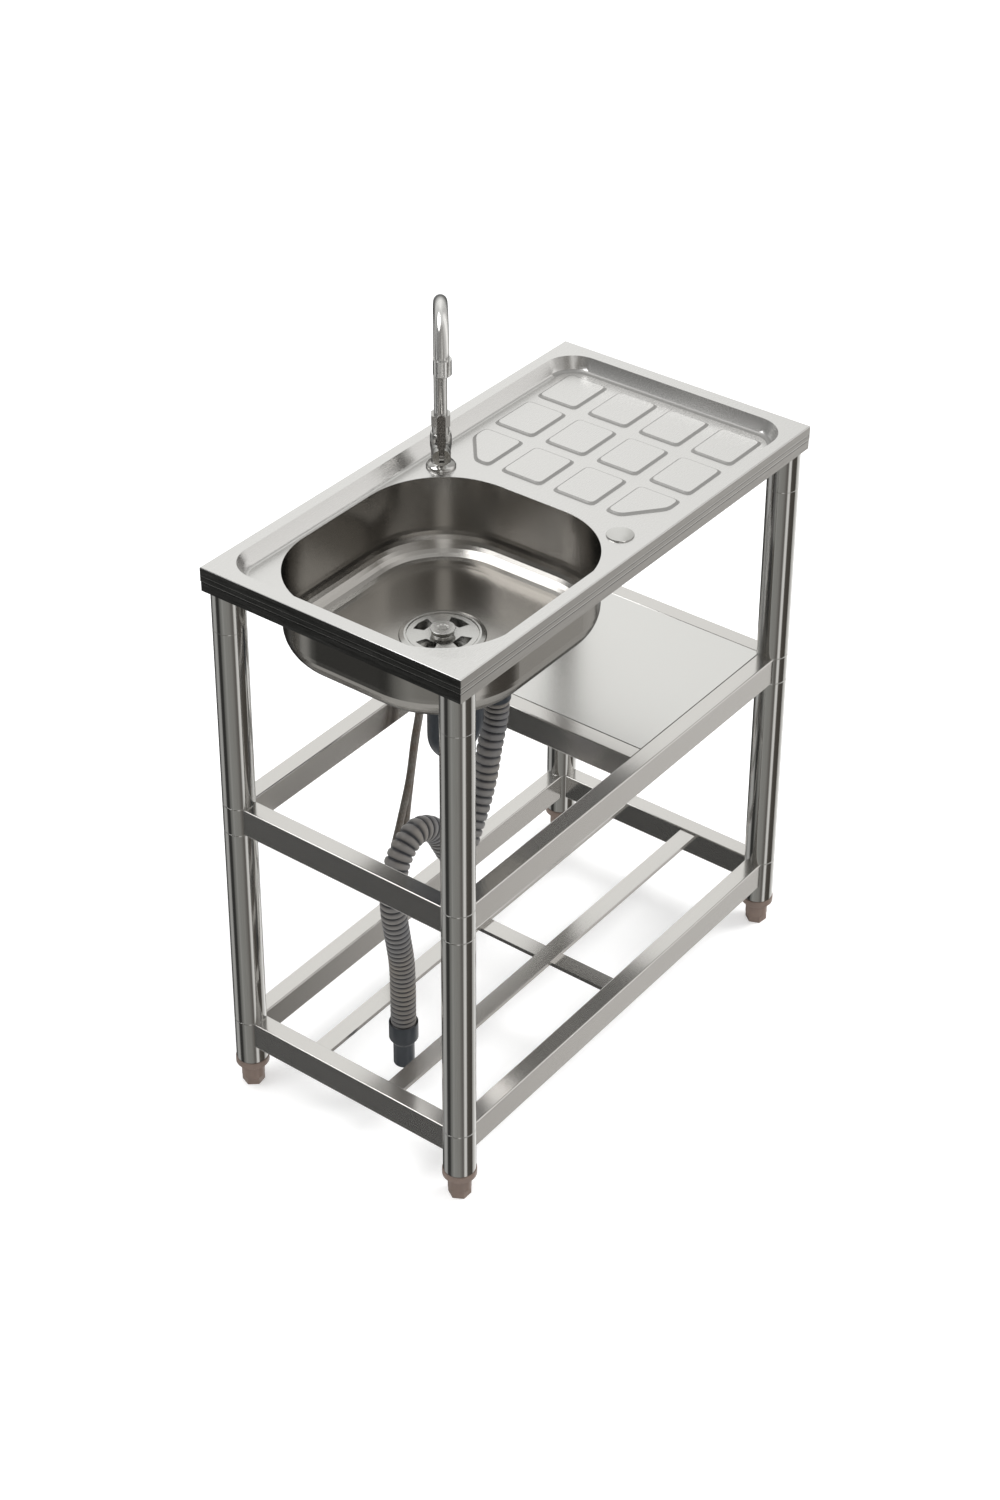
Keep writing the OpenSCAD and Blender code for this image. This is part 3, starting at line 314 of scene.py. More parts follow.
HOSE_GREY = (0.15, 0.15, 0.155, 1.0)
# A warm grey laid on in soft patches as painted reflection
HOSE_PAINTED_WARM_REFLECTION = (0.21, 0.19, 0.165, 1.0)
# The grooves' painted shade
HOSE_GROOVE_PAINTED_SHADE = (0.045, 0.046, 0.050, 1.0)
# Painted shade fills a groove up to this share of its depth, and fades out up to the crest
HOSE_GROOVE_SHADE_TO = 0.25
HOSE_REFLECTION_PATCHES = 14.0
HOSE_SPECKLE = 1100.0
HOSE_ROUGH = (0.30, 0.42)
HOSE_BUMP = 0.1


def make_hose_plastic(name):
    """Grey ribbed hose: warm patches of painted reflection on the grey, and painted shade
    darkening the grooves.
    """
    material, sheet, shader, place = start_material(name)
    crest = sheet.add("ShaderNodeAttribute", attribute_name="rise").outputs["Fac"]
    grey_with_painted_reflection = sheet.blend(add_patches(sheet, place, HOSE_REFLECTION_PATCHES), HOSE_GREY, HOSE_PAINTED_WARM_REFLECTION)
    # The grooves are painted dark as painted shade, and the warm patches are painted reflection
    out_of_groove_shade = sheet.between(crest, HOSE_GROOVE_SHADE_TO, 1.0, 0.0, 1.0)
    sheet.link(sheet.blend(out_of_groove_shade, HOSE_GROOVE_PAINTED_SHADE, grey_with_painted_reflection), shader.inputs["Base Color"])
    fine = sheet.noise(place, HOSE_SPECKLE, detail=3.0, roughness=0.6)
    sheet.link(sheet.over_noise(fine, *HOSE_ROUGH), shader.inputs["Roughness"])
    sheet.relief(shader, fine, HOSE_BUMP, PLASTIC_RELIEF)
    return material


SKIRT_GRAIN = (40.0, 40.0, 1800.0)
# The skirt's two brushed tones along the front, and darker tones at the left end as painted shade
SKIRT_TONES = ((0.42, 0.41, 0.395, 1.0), (0.58, 0.57, 0.55, 1.0))
SKIRT_LEFT_PAINTED_SHADE_TONES = ((0.16, 0.16, 0.156, 1.0), (0.34, 0.34, 0.333, 1.0))
# Painted highlight and painted shade lines at the two folds: [depth under the top, tone]
FOLD_HIGHLIGHT_AND_SHADE_LINES = ((0.0195, 0.92), (0.0210, 0.05), (0.0122, 0.85), (0.0130, 0.10))
FOLD_PAINTED_LINE_HALF = 0.0005
SKIRT_ROUGH = (0.14, 0.26)
SKIRT_BUMP = 0.03


def make_skirt_steel(name):
    """Folded skirt: long brushed lines, painted highlight and painted shade lines at the folds,
    and a left end painted darker as painted shade.
    """
    material, sheet, shader, place = start_material(name)
    parts = sheet.split(place)
    lines = add_lines(sheet, place, SKIRT_GRAIN, SKIRT_COARSE_LINES)
    streak = sheet.between(lines["Mask"], *STREAK_RANGE, 0.0, 1.0)
    # The left end is painted darker: painted shade
    at_painted_shade_left = sheet.math("LESS_THAN", parts["X"], SKIRT_LEFT)
    steel = sheet.blend(at_painted_shade_left, sheet.blend(streak, *SKIRT_TONES),
                        sheet.blend(streak, *SKIRT_LEFT_PAINTED_SHADE_TONES))
    # The bright lines at the folds are painted highlight, and the dark lines under them are
    # painted shade
    for depth, tone in FOLD_HIGHLIGHT_AND_SHADE_LINES:
        off = sheet.math("ABSOLUTE", sheet.math("SUBTRACT", parts["Z"], SKIRT_TOP - depth))
        on_painted_fold_line = sheet.math("LESS_THAN", off, FOLD_PAINTED_LINE_HALF)
        steel = sheet.blend(on_painted_fold_line, steel, (tone, tone, tone * 0.98, 1.0))
    sheet.link(steel, shader.inputs["Base Color"])
    sheet.link(sheet.between(streak, 0.0, 1.0, *SKIRT_ROUGH), shader.inputs["Roughness"])
    shader.inputs["Metallic"].default_value = 1.0
    sheet.relief(shader, lines["Height"], SKIRT_BUMP, METAL_RELIEF)
    return material


# Wires of the braid: number round the hose, and turns per metre along it
BRAID_WIRES = 8.0
BRAID_TURNS = 260.0
BRAID_SHADE = (0.10, 0.085, 0.07, 1.0)
BRAID_BRIGHT = (0.62, 0.60, 0.57, 1.0)
BRAID_BROWN = (0.20, 0.13, 0.09, 1.0)
# Brown stains: how often they come along each way of the hose's map, and their strength
BRAID_STAINS = (1.0, 60.0, 1.0)
BRAID_STAIN = 0.45
# Roughness between the wires and on them
BRAID_ROUGH = (0.55, 0.28)
BRAID_BUMP = 0.6


def make_braid(name):
    """Braided steel sleeve: two sets of crossing wires, laid out on the hose's own map."""
    material, sheet, shader, _ = start_material(name)
    lay = sheet.add("ShaderNodeUVMap", uv_map="lay").outputs["UV"]
    parts = sheet.split(lay)
    waves = []
    for way in (1.0, -1.0):
        turned = sheet.math("ADD", sheet.math("MULTIPLY", parts["X"], BRAID_WIRES * way),
                            sheet.math("MULTIPLY", parts["Y"], BRAID_TURNS))
        waves.append(sheet.math("SINE", sheet.math("MULTIPLY", turned, FULL_TURN)))
    wires = sheet.between(sheet.math("MULTIPLY", *waves), -1.0, 1.0, 0.0, 1.0)
    long_way = sheet.noise(sheet.stretched(lay, BRAID_STAINS), 1.0)
    stain = sheet.between(long_way, *STREAK_RANGE, 0.0, BRAID_STAIN)
    steel = sheet.blend(stain, sheet.blend(wires, BRAID_SHADE, BRAID_BRIGHT), BRAID_BROWN)
    sheet.link(steel, shader.inputs["Base Color"])
    sheet.link(sheet.between(wires, 0.0, 1.0, *BRAID_ROUGH), shader.inputs["Roughness"])
    shader.inputs["Metallic"].default_value = 1.0
    sheet.relief(shader, wires, BRAID_BUMP, METAL_RELIEF)
    return material


# Lines of the grain per metre, along x, y and z
ALONG_X = (60.0, 1500.0, 1500.0)
ALONG_Y = (1500.0, 60.0, 1500.0)
ALONG_Z = (1200.0, 1200.0, 20.0)
ALL_ROUND = (900.0, 900.0, 900.0)

RAIL_COLOUR = (0.68, 0.665, 0.645)

# Steels: [colour, roughness, grain, swing, bump, scale of the patches, tint]
STEELS = {
    "worktop_steel": ((0.745, 0.738, 0.728), 0.26, ALONG_X, 0.015, 0.002, 3.0, 0.012),
    "bowl_steel": ((0.47, 0.455, 0.432), 0.19, ALL_ROUND, 0.03, 0.008, 9.0, 0.04),
    "tube_steel": ((0.62, 0.615, 0.60), 0.10, ALONG_Z, 0.02, 0.003, 4.0, 0.04),
    "rail_steel": (RAIL_COLOUR, 0.16, ALONG_X, 0.005, 0.001, 4.0, 0.006),
    "cross_rail_steel": (RAIL_COLOUR, 0.16, ALONG_Y, 0.005, 0.001, 4.0, 0.006),
    "shelf_steel": ((0.76, 0.755, 0.74), 0.24, ALONG_Y, 0.02, 0.002, 2.0, 0.015),
    "tap_chrome": ((0.64, 0.635, 0.62), 0.09, ALL_ROUND, 0.02, 0.002, 30.0, 0.02),
    # A paler copy of the tap's chrome for the spout and aerator: painted light
    "spout_chrome": ((0.86, 0.855, 0.84), 0.12, ALL_ROUND, 0.02, 0.002, 30.0, 0.02),
    "lever_metal": ((0.30, 0.29, 0.28), 0.24, ALL_ROUND, 0.04, 0.01, 30.0, 0.05),
    "strainer_steel": ((0.64, 0.635, 0.62), 0.17, ALL_ROUND, 0.03, 0.004, 20.0, 0.04),
    # A darker copy of the worktop's steel for the pads' sides: painted shade
    "pad_edge_steel": ((0.36, 0.355, 0.345), 0.42, ALL_ROUND, 0.04, 0.004, 9.0, 0.03),
}
# What sets some steels apart from the rest
STEEL_OPTIONS = {
    "bowl_steel": {"edge_tone": 0.35},
    "rail_steel": {"metallic": 0.95},
    "cross_rail_steel": {"metallic": 0.95},
    "tap_chrome": {"edge_tone": 0.4, "outline": 0.8},
    "spout_chrome": {"metallic": 0.88, "edge_tone": 0.3, "outline": 0.95},
    "pad_edge_steel": {"metallic": 0.7},
}
# Plastics: [colour, roughness]
PLASTICS = {
    "slate_plastic": ((0.030, 0.036, 0.044), 0.34),
    "foot_plastic": ((0.19, 0.14, 0.115), 0.34),
    "seal_rubber": ((0.012, 0.012, 0.012), 0.6),
}

finishes = {
    "skirt_steel": make_skirt_steel("skirt_steel"),
    "hose_plastic": make_hose_plastic("hose_plastic"),
    "braid_steel": make_braid("braid_steel"),
}
for name, values in STEELS.items():
    finishes[name] = make_steel(name, *values, **STEEL_OPTIONS.get(name, {}))
for name, values in PLASTICS.items():
    finishes[name] = make_plastic(name, *values)

record = frame["record"]
slot_of = {part["node"]: part["material_slot"] for part in record["subparts"]}
body_of = {node: body for body, held in record["behaviour"]["bodies"].items() for node in held}

# Nodes whose finish differs from the rest of their slot: the rails that run from front to
# back are brushed that way, the spout and aerator take a paler copy of the tap's chrome as
# painted light, and the hole's cover is polished like the strainer
OWN_FINISH = {
    "tap_spout": "spout_chrome", "aerator": "spout_chrome", "hole_cover": "strainer_steel",
    "rack_brace": "cross_rail_steel",
}
for side in ("shelf_rail_left", "shelf_rail_right", "shelf_rail_middle", "rack_rail_left",
             "rack_rail_right"):
    OWN_FINISH[side] = "cross_rail_steel"


def dress(piece, node):
    """Gives a piece the finish of a node."""
    piece.data.materials.clear()
    piece.data.materials.append(finishes[OWN_FINISH.get(node, slot_of[node])])


for name in slot_of:
    dress(nodes[name], name)


def take(piece):
    """Makes one piece the only selected and the active one."""
    bpy.ops.object.select_all(action="DESELECT")
    piece.select_set(True)
    bpy.context.view_layer.objects.active = piece


def place_piece(piece, node):
    """Lets a new piece stand for a CAD node, with its finish and its body."""
    dress(piece, node)
    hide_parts(node)
    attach(piece, body_of[node])


# Points closer than this are one point, and faces within this angle are one face
SAME_POINT = 0.00002
FLAT_ANGLE = math.radians(0.6)
# Edges sharper than this stay sharp in the shading
SHARP_ANGLE = math.radians(46)


def copy_of(node):
    """A copy of a CAD piece with its triangles joined, to be worked on as a new piece."""
    piece = bpy.data.objects.new(node + "_finished", nodes[node].data.copy())
    bpy.context.scene.collection.objects.link(piece)
    take(piece)
    bpy.ops.object.mode_set(mode="EDIT")
    bpy.ops.mesh.select_all(action="SELECT")
    bpy.ops.mesh.remove_doubles(threshold=SAME_POINT)
    bpy.ops.mesh.customdata_custom_splitnormals_clear()
    bpy.ops.mesh.dissolve_limited(angle_limit=FLAT_ANGLE)
    bpy.ops.object.mode_set(mode="OBJECT")
    return piece


def roll_edges(piece, wanted, offset, segments):
    """Rolls the edges of a piece whose two ends pass a test."""
    take(piece)
    bpy.ops.object.mode_set(mode="EDIT")
    bpy.ops.mesh.select_all(action="DESELECT")
    bpy.ops.object.mode_set(mode="OBJECT")
    mesh = piece.data
    for edge in mesh.edges:
        edge.select = wanted([mesh.vertices[i].co for i in edge.vertices])
    bpy.ops.object.mode_set(mode="EDIT")
    bpy.ops.mesh.select_mode(type="EDGE")
    bpy.ops.mesh.bevel(offset=offset, segments=segments, affect="EDGES")
    bpy.ops.object.mode_set(mode="OBJECT")


def round_edges(piece, width, steps=2, over=50.0):
    """Rounds all edges sharper than an angle, and shades the piece with flat faces kept flat."""
    take(piece)
    rounding = piece.modifiers.new("rounding", "BEVEL")
    rounding.width = width
    rounding.segments = steps
    rounding.limit_method = "ANGLE"
    rounding.angle_limit = math.radians(over)
    rounding.miter_outer = "MITER_ARC"
    bpy.ops.object.modifier_apply(modifier=rounding.name)
    bpy.ops.object.shade_smooth_by_angle(angle=SHARP_ANGLE)
    shading = piece.modifiers.new("shading", "WEIGHTED_NORMAL")
    shading.keep_sharp = True
    bpy.ops.object.modifier_apply(modifier=shading.name)


# Edge rounding of the rigid pieces listed here. The tube sections have rolled ends, which show as
# thin rings where one section meets the next.
TUBE_EDGE = 0.0003
TUBE_ROLL = 0.0009
TUBE_ROLL_STEPS = 3
# Points less than this inside a tube's radius are on its outside
TUBE_SKIN = 0.0001
FOOT_EDGE = 0.0010
TUBE_SECTIONS = ("upper_leg_", "shelf_corner_", "lower_leg_", "rack_corner_")
EDGES = {
    "leg_sockets": TUBE_EDGE, "foot_inserts": 0.0009, "tap_lever": 0.0009,
    "lever_hub": 0.0008, "spout_nut": 0.0007, "aerator": 0.0006, "tap_body": 0.0007,
    "hole_cover": 0.0005, "trap_nut": 0.0009, "hose_cuff": 0.0008, "hose_adapter": 0.0007,
    "strainer_body": 0.0009, "basket_knob": 0.0006, "supply_nut_hot": 0.0007,
    "supply_nut_cold": 0.0007, "tap_backnut": 0.0006, "shelf_panel": 0.0004,
}
for corner in ("fl", "fr", "br", "bl"):
    EDGES["foot_" + corner] = FOOT_EDGE
    for section in TUBE_SECTIONS:
        EDGES[section + corner] = TUBE_EDGE


def round_tube_ends(piece):
    """Rolls the outer edge at both ends of a round tube section."""
    corners = [v.co for v in piece.data.vertices]
    middle = (max(c.x for c in corners) + min(c.x for c in corners)) / 2
    across = (max(c.y for c in corners) + min(c.y for c in corners)) / 2

    def off_axis(point):
        return math.hypot(point.x - middle, point.y - across)

    outer = max(off_axis(c) for c in corners) - TUBE_SKIN

    def on_rim(ends):
        level = abs(ends[0].z - ends[1].z) < SAME_POINT
        return level and all(off_axis(v) > outer for v in ends)

    roll_edges(piece, on_rim, TUBE_ROLL, TUBE_ROLL_STEPS)


for node, width in EDGES.items():
    finished = copy_of(node)
    if node.startswith(TUBE_SECTIONS):
        round_tube_ends(finished)
    round_edges(finished, width)
    place_piece(finished, node)


# The worktop's outer fold and the upper edge of its pads are rolled as pressed sheet is
FOLD_ROLL = 0.0016
FOLD_ROLL_STEPS = 4
PAD_ROLL = 0.0009
PAD_ROLL_STEPS = 2
WORKTOP_EDGE = 0.0003
ON_FACE = 0.00005
# The skirt starts this far in from the outside and this far under the top
SKIRT_DEPTH = 0.0018
SKIRT_DROP = 0.0010
# A pad's sides lie above this height over the deck, and their normals rise less than this
PAD_SIDE_FROM = 0.0002
PAD_SIDE_TILT = 0.995
SKIRT_SLOT = 1
PAD_SIDE_SHADE_SLOT = 2


def make_worktop():
    """The pressed worktop, with rolled folds and pads, its skirt set off, and its pads' sides
    painted darker as painted shade.
    """
    worktop = copy_of("worktop")
    low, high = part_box("worktop")

    def on_fold(ends):
        on_top = all(abs(v.z - high[2]) < ON_FACE for v in ends)
        on_end = any(all(abs(v.x - x) < ON_FACE for v in ends) for x in (low[0], high[0]))
        on_side = any(all(abs(v.y - y) < ON_FACE for v in ends) for y in (low[1], high[1]))
        return on_top and (on_end or on_side)

    def on_pad(ends):
        return all(v.x > PADS_FROM and abs(v.z - DECK - PAD_RISE) < ON_FACE for v in ends)

    roll_edges(worktop, on_fold, FOLD_ROLL, FOLD_ROLL_STEPS)
    roll_edges(worktop, on_pad, PAD_ROLL, PAD_ROLL_STEPS)
    round_edges(worktop, WORKTOP_EDGE, steps=1, over=70.0)
    place_piece(worktop, "worktop")
    mesh = worktop.data
    mesh.materials.append(finishes["skirt_steel"])
    mesh.materials.append(finishes["pad_edge_steel"])
    for face in mesh.polygons:
        x, y, z = face.center
        outside = abs(x) > high[0] - SKIRT_DEPTH or abs(y) > high[1] - SKIRT_DEPTH
        beside_pad = DECK + PAD_SIDE_FROM < z < DECK + PAD_RISE - SAME_POINT
        if outside and z < high[2] - SKIRT_DROP:
            face.material_index = SKIRT_SLOT
        # The pads' sides get the darker steel: painted shade
        elif x > PADS_FROM and beside_pad and abs(face.normal.z) < PAD_SIDE_TILT:
            face.material_index = PAD_SIDE_SHADE_SLOT


make_worktop()


# Cords

# Points of a cord's line for each span between two points of its route
SPAN_POINTS = 12
# Rings inside a cord's bore, and how near its ends they come
BORE_STEPS = 40
BORE_END_SHARE = 0.98


def smooth_line(points):
    """Points of a smooth curve through the given points."""
    line = []
    last = len(points) - 1
    for i in range(last):
        p1, p2 = points[i], points[i + 1]
        p0 = points[i - 1] if i else p1 * 2 - p2
        p3 = points[i + 2] if i < last - 1 else p2 * 2 - p1
        for k in range(SPAN_POINTS):
            u = k / SPAN_POINTS
            line.append((p1 * 2 + (p2 - p0) * u + (p0 * 2 - p1 * 5 + p2 * 4 - p3) * u * u
                         + (p1 * 3 - p0 - p2 * 3 + p3) * u ** 3) / 2)
    line.append(points[last].copy())
    return line


def along(line):
    """Running length at each point of a line."""
    run = [0.0]
    for a, b in zip(line, line[1:]):
        run.append(run[-1] + (b - a).length)
    return run


def at_length(line, run, length):
    """The point and the direction of a line at a running length."""
    k = 0
    while k < len(run) - 2 and run[k + 1] < length:
        k += 1
    part = (length - run[k]) / max(run[k + 1] - run[k], 1e-9)
    return line[k].lerp(line[k + 1], part), (line[k + 1] - line[k]).normalized()


def ring_round(line, run, share, radius, sides):
    """A ring of points round a line that lies in an upright plane along x."""
    centre, way = at_length(line, run, share * run[-1])
    across = Vector((0.0, 1.0, 0.0))
    side = way.cross(across).normalized()
    return [centre + side * radius * math.cos(a) + across * radius * math.sin(a)
            for a in (FULL_TURN * i / sides for i in range(sides))]


def tube_round(name, line, radii, sides, bore):
    """A tube with a bore round a line. radii lists [share of the length, radius].

    Its map runs once round, and along by metres.
    """
    run = along(line)
    outer = len(radii)
    shares = [share for share, _ in radii]
    within = [BORE_END_SHARE - (2 * BORE_END_SHARE - 1) * k / BORE_STEPS
              for k in range(BORE_STEPS + 1)]
    rings = [ring_round(line, run, share, radius, sides) for share, radius in radii]
    rings += [ring_round(line, run, share, bore, sides)
              for share in [shares[-1], shares[0]] + within]
    # Along the outside, over the far end, and back through the bore to the start
    chain = [*range(outer + 1), *range(outer + 2, len(rings)), outer + 1, 0]
    faces = []
    for a, b in zip(chain, chain[1:]):
        for i in range(sides):
            j = (i + 1) % sides
            faces.append((a * sides + i, a * sides + j, b * sides + j, b * sides + i))
    mesh = bpy.data.meshes.new(name)
    mesh.from_pydata([tuple(v) for ring in rings for v in ring], [], faces)
    mesh.update()
    lay = mesh.uv_layers.new(name="lay")
    for face in mesh.polygons:
        seam_face = any(v % sides == sides - 1 for v in face.vertices)
        for corner, vertex in zip(face.loop_indices, face.vertices):
            ring, spot = divmod(vertex, sides)
            turned = sides if spot == 0 and seam_face else spot
            lay.data[corner].uv = (turned / sides, shares[min(ring, outer - 1)] * run[-1])
    piece = bpy.data.objects.new(name, mesh)
    bpy.context.scene.collection.objects.link(piece)
    return piece


def finish_mesh(piece, sharp_over):
    """Points the faces outwards and shades the piece smooth, but for its sharp edges."""
    take(piece)
    bpy.ops.object.mode_set(mode="EDIT")
    bpy.ops.mesh.select_all(action="SELECT")
    bpy.ops.mesh.normals_make_consistent(inside=False)
    bpy.ops.object.mode_set(mode="OBJECT")
    bpy.ops.object.shade_smooth_by_angle(angle=math.radians(sharp_over))
    piece.select_set(False)


# The drain hose starts under the trap, and its route is given as shares of its reach to the
# left and of its height
HOSE_TOP = (-0.043, 0.530)
HOSE_LOW = 0.112
HOSE_REACH = 0.2838
HOSE_SHARES = [
    (0, 1), (0, 0.9701), (0.0106, 0.9234), (0.037, 0.866), (0.0617, 0.8086), (0.0863, 0.7392),
    (0.1198, 0.6782), (0.1586, 0.622), (0.1991, 0.5742), (0.2326, 0.5359), (0.2889, 0.5144),
    (0.3488, 0.5359), (0.4017, 0.5981), (0.4545, 0.6603), (0.525, 0.7057), (0.6096, 0.7225),
    (0.6871, 0.6986), (0.7435, 0.6507), (0.7717, 0.5837), (0.7717, 0.4928), (0.747, 0.3828),
    (0.7206, 0.2679), (0.7135, 0.1699), (0.7135, 0.0861), (0.7135, 0),
]
HOSE_R = 0.01725
HOSE_GROOVE = 0.0030
HOSE_BORE = 0.013
HOSE_SIDES = 40
# The hose is stretched where it hangs free: [share of its length, distance between ribs]
HOSE_PITCH = [
    (0.0, 0.0088), (0.1, 0.0118), (0.33, 0.0112), (0.5, 0.0104), (0.68, 0.0098),
    (0.82, 0.0080), (1.0, 0.0076),
]
# One rib, from a narrow groove over a round crest to the next: [share of the pitch, rise]
RIB = (
    (0.0, 0.0), (0.05, 0.05), (0.11, 0.42), (0.2, 0.76), (0.32, 0.95), (0.5, 1.0),
    (0.68, 0.95), (0.8, 0.76), (0.89, 0.42), (0.95, 0.05),
)


def pitch_at(share):
    for (s0, p0), (s1, p1) in zip(HOSE_PITCH, HOSE_PITCH[1:]):
        if share <= s1:
            return p0 + (p1 - p0) * (share - s0) / (s1 - s0)
    return HOSE_PITCH[-1][1]


def make_drain_hose():
    points = [Vector((HOSE_TOP[0] - s * HOSE_REACH, 0.0,
                      HOSE_LOW + t * (HOSE_TOP[1] - HOSE_LOW))) for s, t in HOSE_SHARES]
    line = smooth_line(points)
    length = along(line)[-1]
    grooves = [0.0]
    while grooves[-1] < length:
        grooves.append(grooves[-1] + pitch_at(grooves[-1] / length))
    fit = length / grooves[-1]
    profile = [((here + (there - here) * step) * fit / length, rise)
               for here, there in zip(grooves, grooves[1:]) for step, rise in RIB]
    profile.append((1.0, 0.0))
    radii = [(share, HOSE_R - HOSE_GROOVE * (1 - rise)) for share, rise in profile]
    hose = tube_round("ribbed_hose", line, radii, HOSE_SIDES, HOSE_BORE)
    crest = hose.data.attributes.new("rise", "FLOAT", "POINT")
    for ring, (_, rise) in enumerate(profile):
        for spot in range(HOSE_SIDES):
            crest.data[ring * HOSE_SIDES + spot].value = rise
    finish_mesh(hose, sharp_over=80)
    place_piece(hose, "drain_hose")


# The supply hoses hang from the tap, side by side, and part at their lower ends. Their route
# is given as shares of their reach to the left and of their height.
SUPPLY_R = 0.005
SUPPLY_BORE_SHARE = 0.6
SUPPLY_SIDES = 32
SUPPLY_RINGS = 120
SUPPLY_REACH = 0.108
SUPPLY_SPREAD = 0.010
SUPPLY_PART_FROM = 7
SUPPLY_PART_OVER = 2
SUPPLY_TOP = 0.746
SUPPLY_LOW = 0.166
SUPPLY_PITCH = 0.0112
SUPPLY_TURN = math.radians(26)
SUPPLY_SHARES = [
    (0, 1), (0, 0.976), (0.028, 0.891), (0.102, 0.772), (0.259, 0.636), (0.4685, 0.4716),
    (0.565, 0.405), (0.676, 0.307), (0.82, 0.206), (0.917, 0.133), (0.98, 0.055), (1, 0.026),
    (1, 0),
]


def make_supply_hose(label, side):
    x = TAP[0] + side * SUPPLY_PITCH / 2 * math.cos(SUPPLY_TURN)
    y = TAP[1] + side * SUPPLY_PITCH / 2 * math.sin(SUPPLY_TURN)
    points = []
    for k, (s, t) in enumerate(SUPPLY_SHARES):
        parted = min(1.0, max(0.0, (k - SUPPLY_PART_FROM) / SUPPLY_PART_OVER))
        points.append(Vector((x - s * SUPPLY_REACH + SUPPLY_SPREAD * side * parted, y,
                              SUPPLY_LOW + t * (SUPPLY_TOP - SUPPLY_LOW))))
    line = smooth_line(points)
    radii = [(k / SUPPLY_RINGS, SUPPLY_R) for k in range(SUPPLY_RINGS + 1)]
    hose = tube_round("braided_hose_" + label, line, radii, SUPPLY_SIDES,
                      SUPPLY_R * SUPPLY_BORE_SHARE)
    finish_mesh(hose, sharp_over=60)
    place_piece(hose, "supply_hose_" + label)


make_drain_hose()
make_supply_hose("hot", 1)
make_supply_hose("cold", -1)


# Studio

FLOOR_SIZE = 60.0
FLOOR_WHITE = 0.86
FLOOR_GLOW = 0.35


def make_floor():
    """A pale floor that steel doesn't mirror, because the studio's cards stand in for it."""
    bpy.ops.object.select_all(action="DESELECT")
    bpy.ops.mesh.primitive_plane_add(size=FLOOR_SIZE, location=(0, 0, 0))
    floor = bpy.context.object
    floor.name = "studio_floor"
    material, _, shader, _ = start_material("studio_floor")
    shader.inputs["Base Color"].default_value = (FLOOR_WHITE, FLOOR_WHITE, FLOOR_WHITE, 1.0)
    shader.inputs["Roughness"].default_value = 0.9
    shader.inputs["Specular IOR Level"].default_value = 0.0
    shader.inputs["Emission Color"].default_value = (1.0, 1.0, 1.0, 1.0)
    shader.inputs["Emission Strength"].default_value = FLOOR_GLOW
    floor.data.materials.append(material)
    floor.visible_glossy = False


# Brightness that steel sees round the studio, as [azimuth in degrees, red, green, blue].
# Low down, pale cards stand between grey ones and give the tubes their light and dark
# stripes. Higher up the studio is bright to the right and the back, and dim to the left.
LOW_CARDS = [
    (0, 1.15, 1.15, 1.13), (12, 0.85, 0.85, 0.83), (23, 0.10, 0.10, 0.098),
    (78, 0.06, 0.06, 0.058), (96, 0.36, 0.36, 0.355), (108, 0.48, 0.48, 0.47),
    (122, 0.42, 0.42, 0.41), (134, 0.05, 0.05, 0.048), (150, 0.04, 0.04, 0.038),
    (166, 0.23, 0.23, 0.22), (181, 0.36, 0.36, 0.345), (190, 0.31, 0.31, 0.295),
    (217, 0.29, 0.285, 0.27), (245, 0.15, 0.14, 0.13), (257, 0.85, 0.84, 0.82),
    (266, 0.85, 0.84, 0.82), (276, 0.10, 0.09, 0.08), (312, 0.08, 0.073, 0.064),
    (317.5, 0.11, 0.104, 0.095), (321, 0.58, 0.565, 0.54), (330, 0.64, 0.63, 0.61),
    (341, 0.78, 0.77, 0.75),
]
HIGH_CARDS = [
    (0, 0.50, 0.50, 0.485), (20, 0.72, 0.72, 0.70), (35, 1.0, 1.0, 0.98),
    (62, 0.9, 0.9, 0.88), (90, 0.58, 0.58, 0.57), (112, 0.24, 0.24, 0.235),
    (140, 0.13, 0.13, 0.125), (180, 0.14, 0.135, 0.125), (205, 0.18, 0.17, 0.155),
    (214, 0.85, 0.84, 0.82), (222, 0.85, 0.84, 0.82), (232, 0.20, 0.19, 0.175),
    (245, 0.26, 0.25, 0.235), (265, 0.45, 0.44, 0.425), (285, 0.55, 0.54, 0.525),
    (303, 0.95, 0.94, 0.92), (322, 0.92, 0.91, 0.89), (345, 0.45, 0.44, 0.43),
]
# Heights of a view's direction, from straight down at -1 to straight up at 1, over which the
# low cards pass into the high ones, these into the ceiling, and the low ones into the ground
CARDS_MEET = (-0.42, -0.30)
CEILING_FROM = (0.85, 0.98)
GROUND_FROM = (-0.70, -0.80)
CEILING = (0.6, 0.6, 0.59, 1.0)
GROUND = (0.62, 0.615, 0.60, 1.0)
# Light that dull surfaces get from all round, and the background that the camera sees
AMBIENT = (0.8, 0.8, 0.8, 1.0)
BACKGROUND = (1.0, 1.0, 1.0, 1.0)


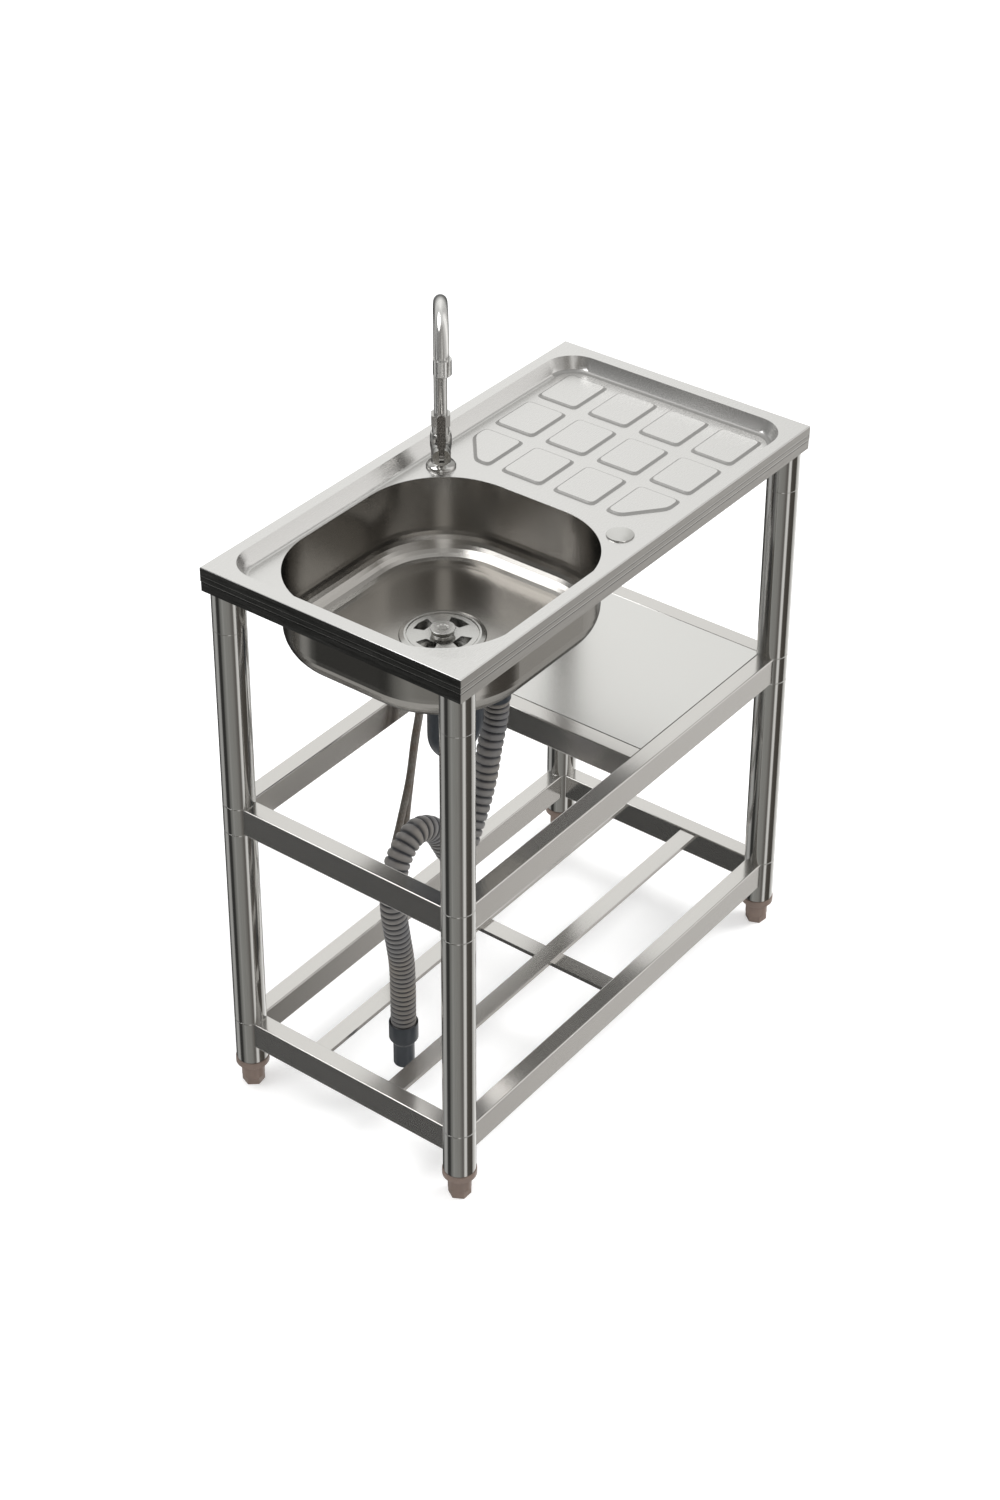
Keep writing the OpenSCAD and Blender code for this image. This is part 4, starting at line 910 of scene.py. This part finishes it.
def card_ramp(sheet, turn, cards):
    ramp = sheet.add("ShaderNodeValToRGB")
    ramp.color_ramp.interpolation = "EASE"
    stops = ramp.color_ramp.elements
    stops[0].position = 0.0
    stops[1].position = 1.0
    first = cards[0]
    for stop in (stops[0], stops[1]):
        stop.color = (*first[1:], 1.0)
    for azimuth, *colour in cards[1:]:
        stop = stops.new(azimuth / 360.0)
        stop.color = (*colour, 1.0)
    sheet.link(turn, ramp.inputs["Fac"])
    return ramp.outputs["Color"]


def make_world():
    world = bpy.data.worlds.new("studio")
    bpy.context.scene.world = world
    world.use_nodes = True
    sheet = Sheet(world.node_tree)
    back = world.node_tree.nodes["Background"]
    parts = sheet.split(sheet.add("ShaderNodeTexCoord").outputs["Generated"])
    turn = sheet.math("DIVIDE", sheet.math("ARCTAN2", parts["Y"], parts["X"]), FULL_TURN)
    turn = sheet.math("FRACT", sheet.math("ADD", turn, 1.0))

    def share_of(heights):
        return sheet.between(parts["Z"], *heights, 0.0, 1.0, kind="SMOOTHSTEP")

    seen = sheet.blend(share_of(CARDS_MEET), card_ramp(sheet, turn, LOW_CARDS),
                       card_ramp(sheet, turn, HIGH_CARDS))
    seen = sheet.blend(share_of(CEILING_FROM), seen, CEILING)
    seen = sheet.blend(share_of(GROUND_FROM), seen, GROUND)
    path = sheet.add("ShaderNodeLightPath").outputs
    shiny = sheet.math("MAXIMUM", path["Is Glossy Ray"], path["Is Transmission Ray"])
    lit = sheet.blend(shiny, AMBIENT, seen)
    sheet.link(sheet.blend(path["Is Camera Ray"], lit, BACKGROUND), back.inputs["Color"])
    back.inputs["Strength"].default_value = 1.0


LAMP_AIM = (0.0, 0.0, 0.5)


def make_lamp(name, place, size, power, mirrored):
    data = bpy.data.lights.new(name, "AREA")
    data.shape = "DISK"
    data.size = size
    data.energy = power
    lamp = bpy.data.objects.new(name, data)
    bpy.context.scene.collection.objects.link(lamp)
    lamp.location = place
    lamp.visible_glossy = mirrored
    towards = Vector(LAMP_AIM) - Vector(place)
    lamp.rotation_euler = towards.to_track_quat("-Z", "Y").to_euler()


make_floor()
make_world()
make_lamp("key_lamp", place=(2.2, -1.8, 2.6), size=1.4, power=70.0, mirrored=False)
make_lamp("fill_lamp", place=(-1.2, 1.2, 3.0), size=2.0, power=30.0, mirrored=True)
